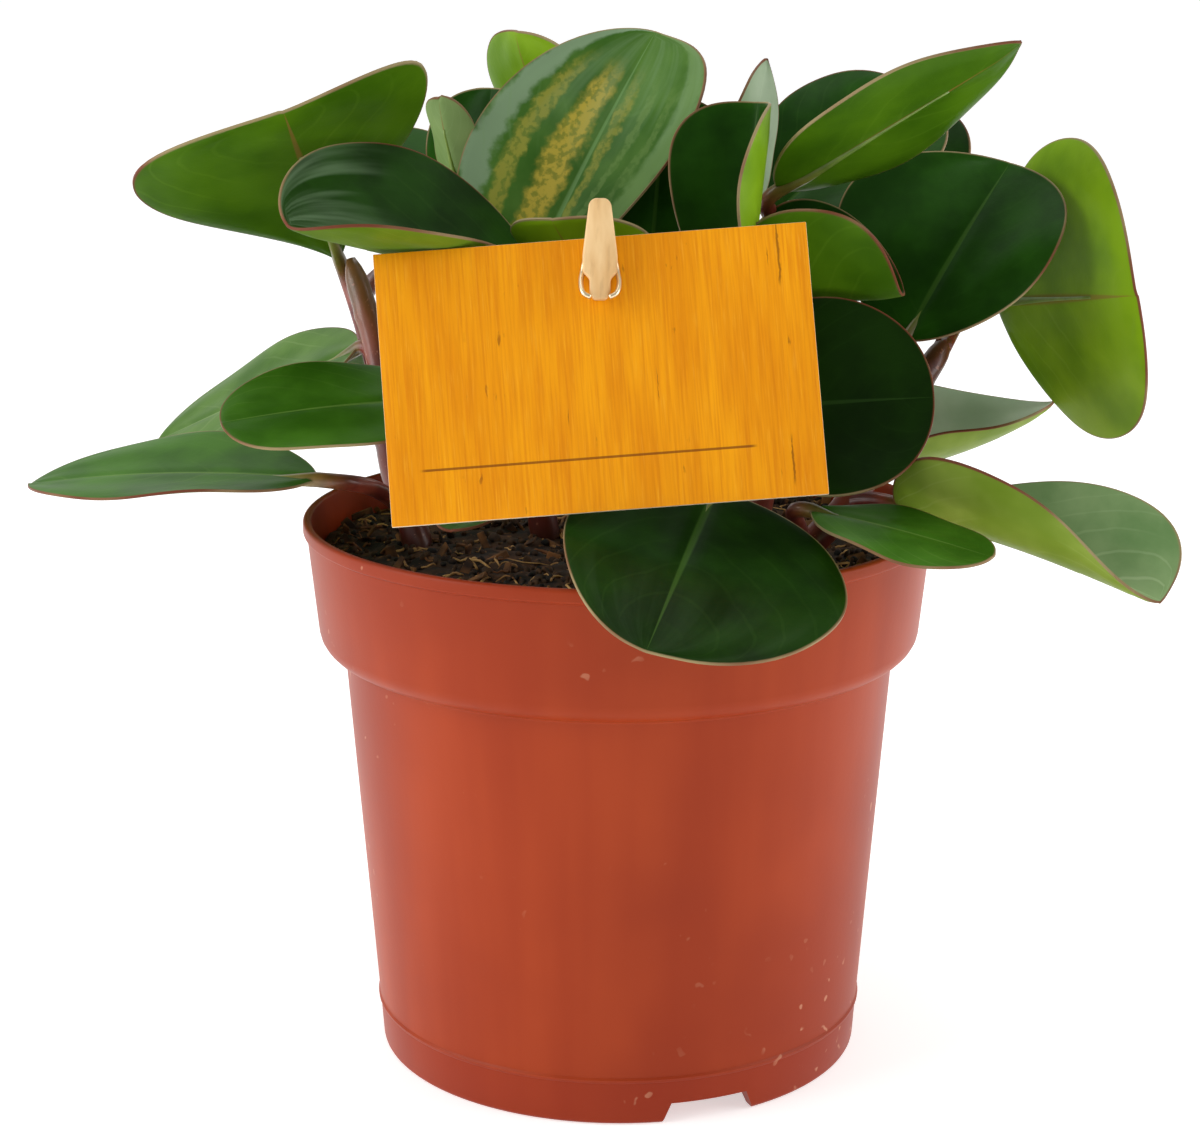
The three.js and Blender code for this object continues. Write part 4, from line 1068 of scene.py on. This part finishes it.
def wire_finish():
    material, tree, shader, place = finish("spring_steel", 0.32)
    shader.inputs["Metallic"].default_value = 1.0
    dull = grain(tree, place, 800)
    base = blend(tree, dull, (226, 206, 168), (246, 232, 200))
    wear(tree, shader, base, relief(tree, dull, 0.02))
    return material


piece("peg_spring_wire", wire_shape, [wire_finish()], crease=180,
      stands_for=["peg_spring"])

# Studio
# A round sheet of white paper, big enough to fill every view, which glows a little so that it
# shows as plain white. Soft square lamps stand to both sides and above, and the camera stands
# where the photograph's did.
FLOOR_RADIUS = 14
FLOOR_GLOW = 0.56
WORLD_LIGHT = (0.42, 1.0)  # in front of the plant and behind it
LAMPS = [  # name, place, watts
    ("lamp_left", (-0.9, -0.3, 0.5), 7.4),
    ("lamp_right", (1.0, -0.15, 0.4), 6),
    ("lamp_above", (-0.2, 0.4, 1.2), 3.5),
]
LAMP_SIZE = 0.8
LAMP_TARGET = Vector((0, 0, 0.12))
LENS = 83.1
CAMERA_PLACE = (-0.0036, -0.515, 0.224)
CAMERA_TILT = 75.9  # degrees up from straight down
floor_shape = bmesh.new()
bmesh.ops.create_circle(floor_shape, cap_ends=True, segments=96, radius=FLOOR_RADIUS)
floor_mesh = bpy.data.meshes.new("floor")
floor_shape.to_mesh(floor_mesh)
floor_shape.free()
floor = bpy.data.objects.new("floor", floor_mesh)
bpy.context.scene.collection.objects.link(floor)
paper, paper_tree, paper_shader, paper_place = finish("white_paper", 0.9)
wear(paper_tree, paper_shader, blend(paper_tree, grain(paper_tree, paper_place, 3),
                                     (224, 224, 224), (230, 230, 230)))
paper_shader.inputs["Emission Color"].default_value = colour(255, 255, 255)
paper_shader.inputs["Emission Strength"].default_value = FLOOR_GLOW
paper.cycles.emission_sampling = "NONE"  # the glow is for the eye, and needn't be aimed at
floor_mesh.materials.append(paper)

world = bpy.data.worlds.new("studio")
world.use_nodes = True
sky = world.node_tree
backdrop = sky.nodes["Background"]
backdrop.inputs["Color"].default_value = (1.0, 1.0, 1.0, 1.0)
heading = add(sky, "SeparateXYZ", {0: add(sky, "TexCoord").outputs["Generated"]}).outputs["Y"]
bright = {"Value": heading, "From Min": 0.0, "From Max": 0.8,
          "To Min": WORLD_LIGHT[0], "To Max": WORLD_LIGHT[1]}
bright = add(sky, "MapRange", bright, interpolation_type="SMOOTHSTEP").outputs["Result"]
sky.links.new(bright, backdrop.inputs["Strength"])
bpy.context.scene.world = world

for name, spot, power in LAMPS:
    light = bpy.data.lights.new(name, "AREA")
    light.size = LAMP_SIZE
    light.energy = power
    lamp = bpy.data.objects.new(name, light)
    lamp.location = spot
    aim = LAMP_TARGET - lamp.location
    lamp.rotation_euler = aim.to_track_quat("-Z", "Y").to_euler()
    bpy.context.scene.collection.objects.link(lamp)

camera = bpy.data.cameras.new("camera")
camera.sensor_width = 36
camera.lens = LENS
camera.clip_start = 0.01
camera.clip_end = 60
viewer = bpy.data.objects.new("camera", camera)
viewer.location = CAMERA_PLACE
viewer.rotation_euler = (math.radians(CAMERA_TILT), 0, 0)
bpy.context.scene.collection.objects.link(viewer)
bpy.context.scene.camera = viewer
bpy.context.scene.view_settings.view_transform = "Standard"
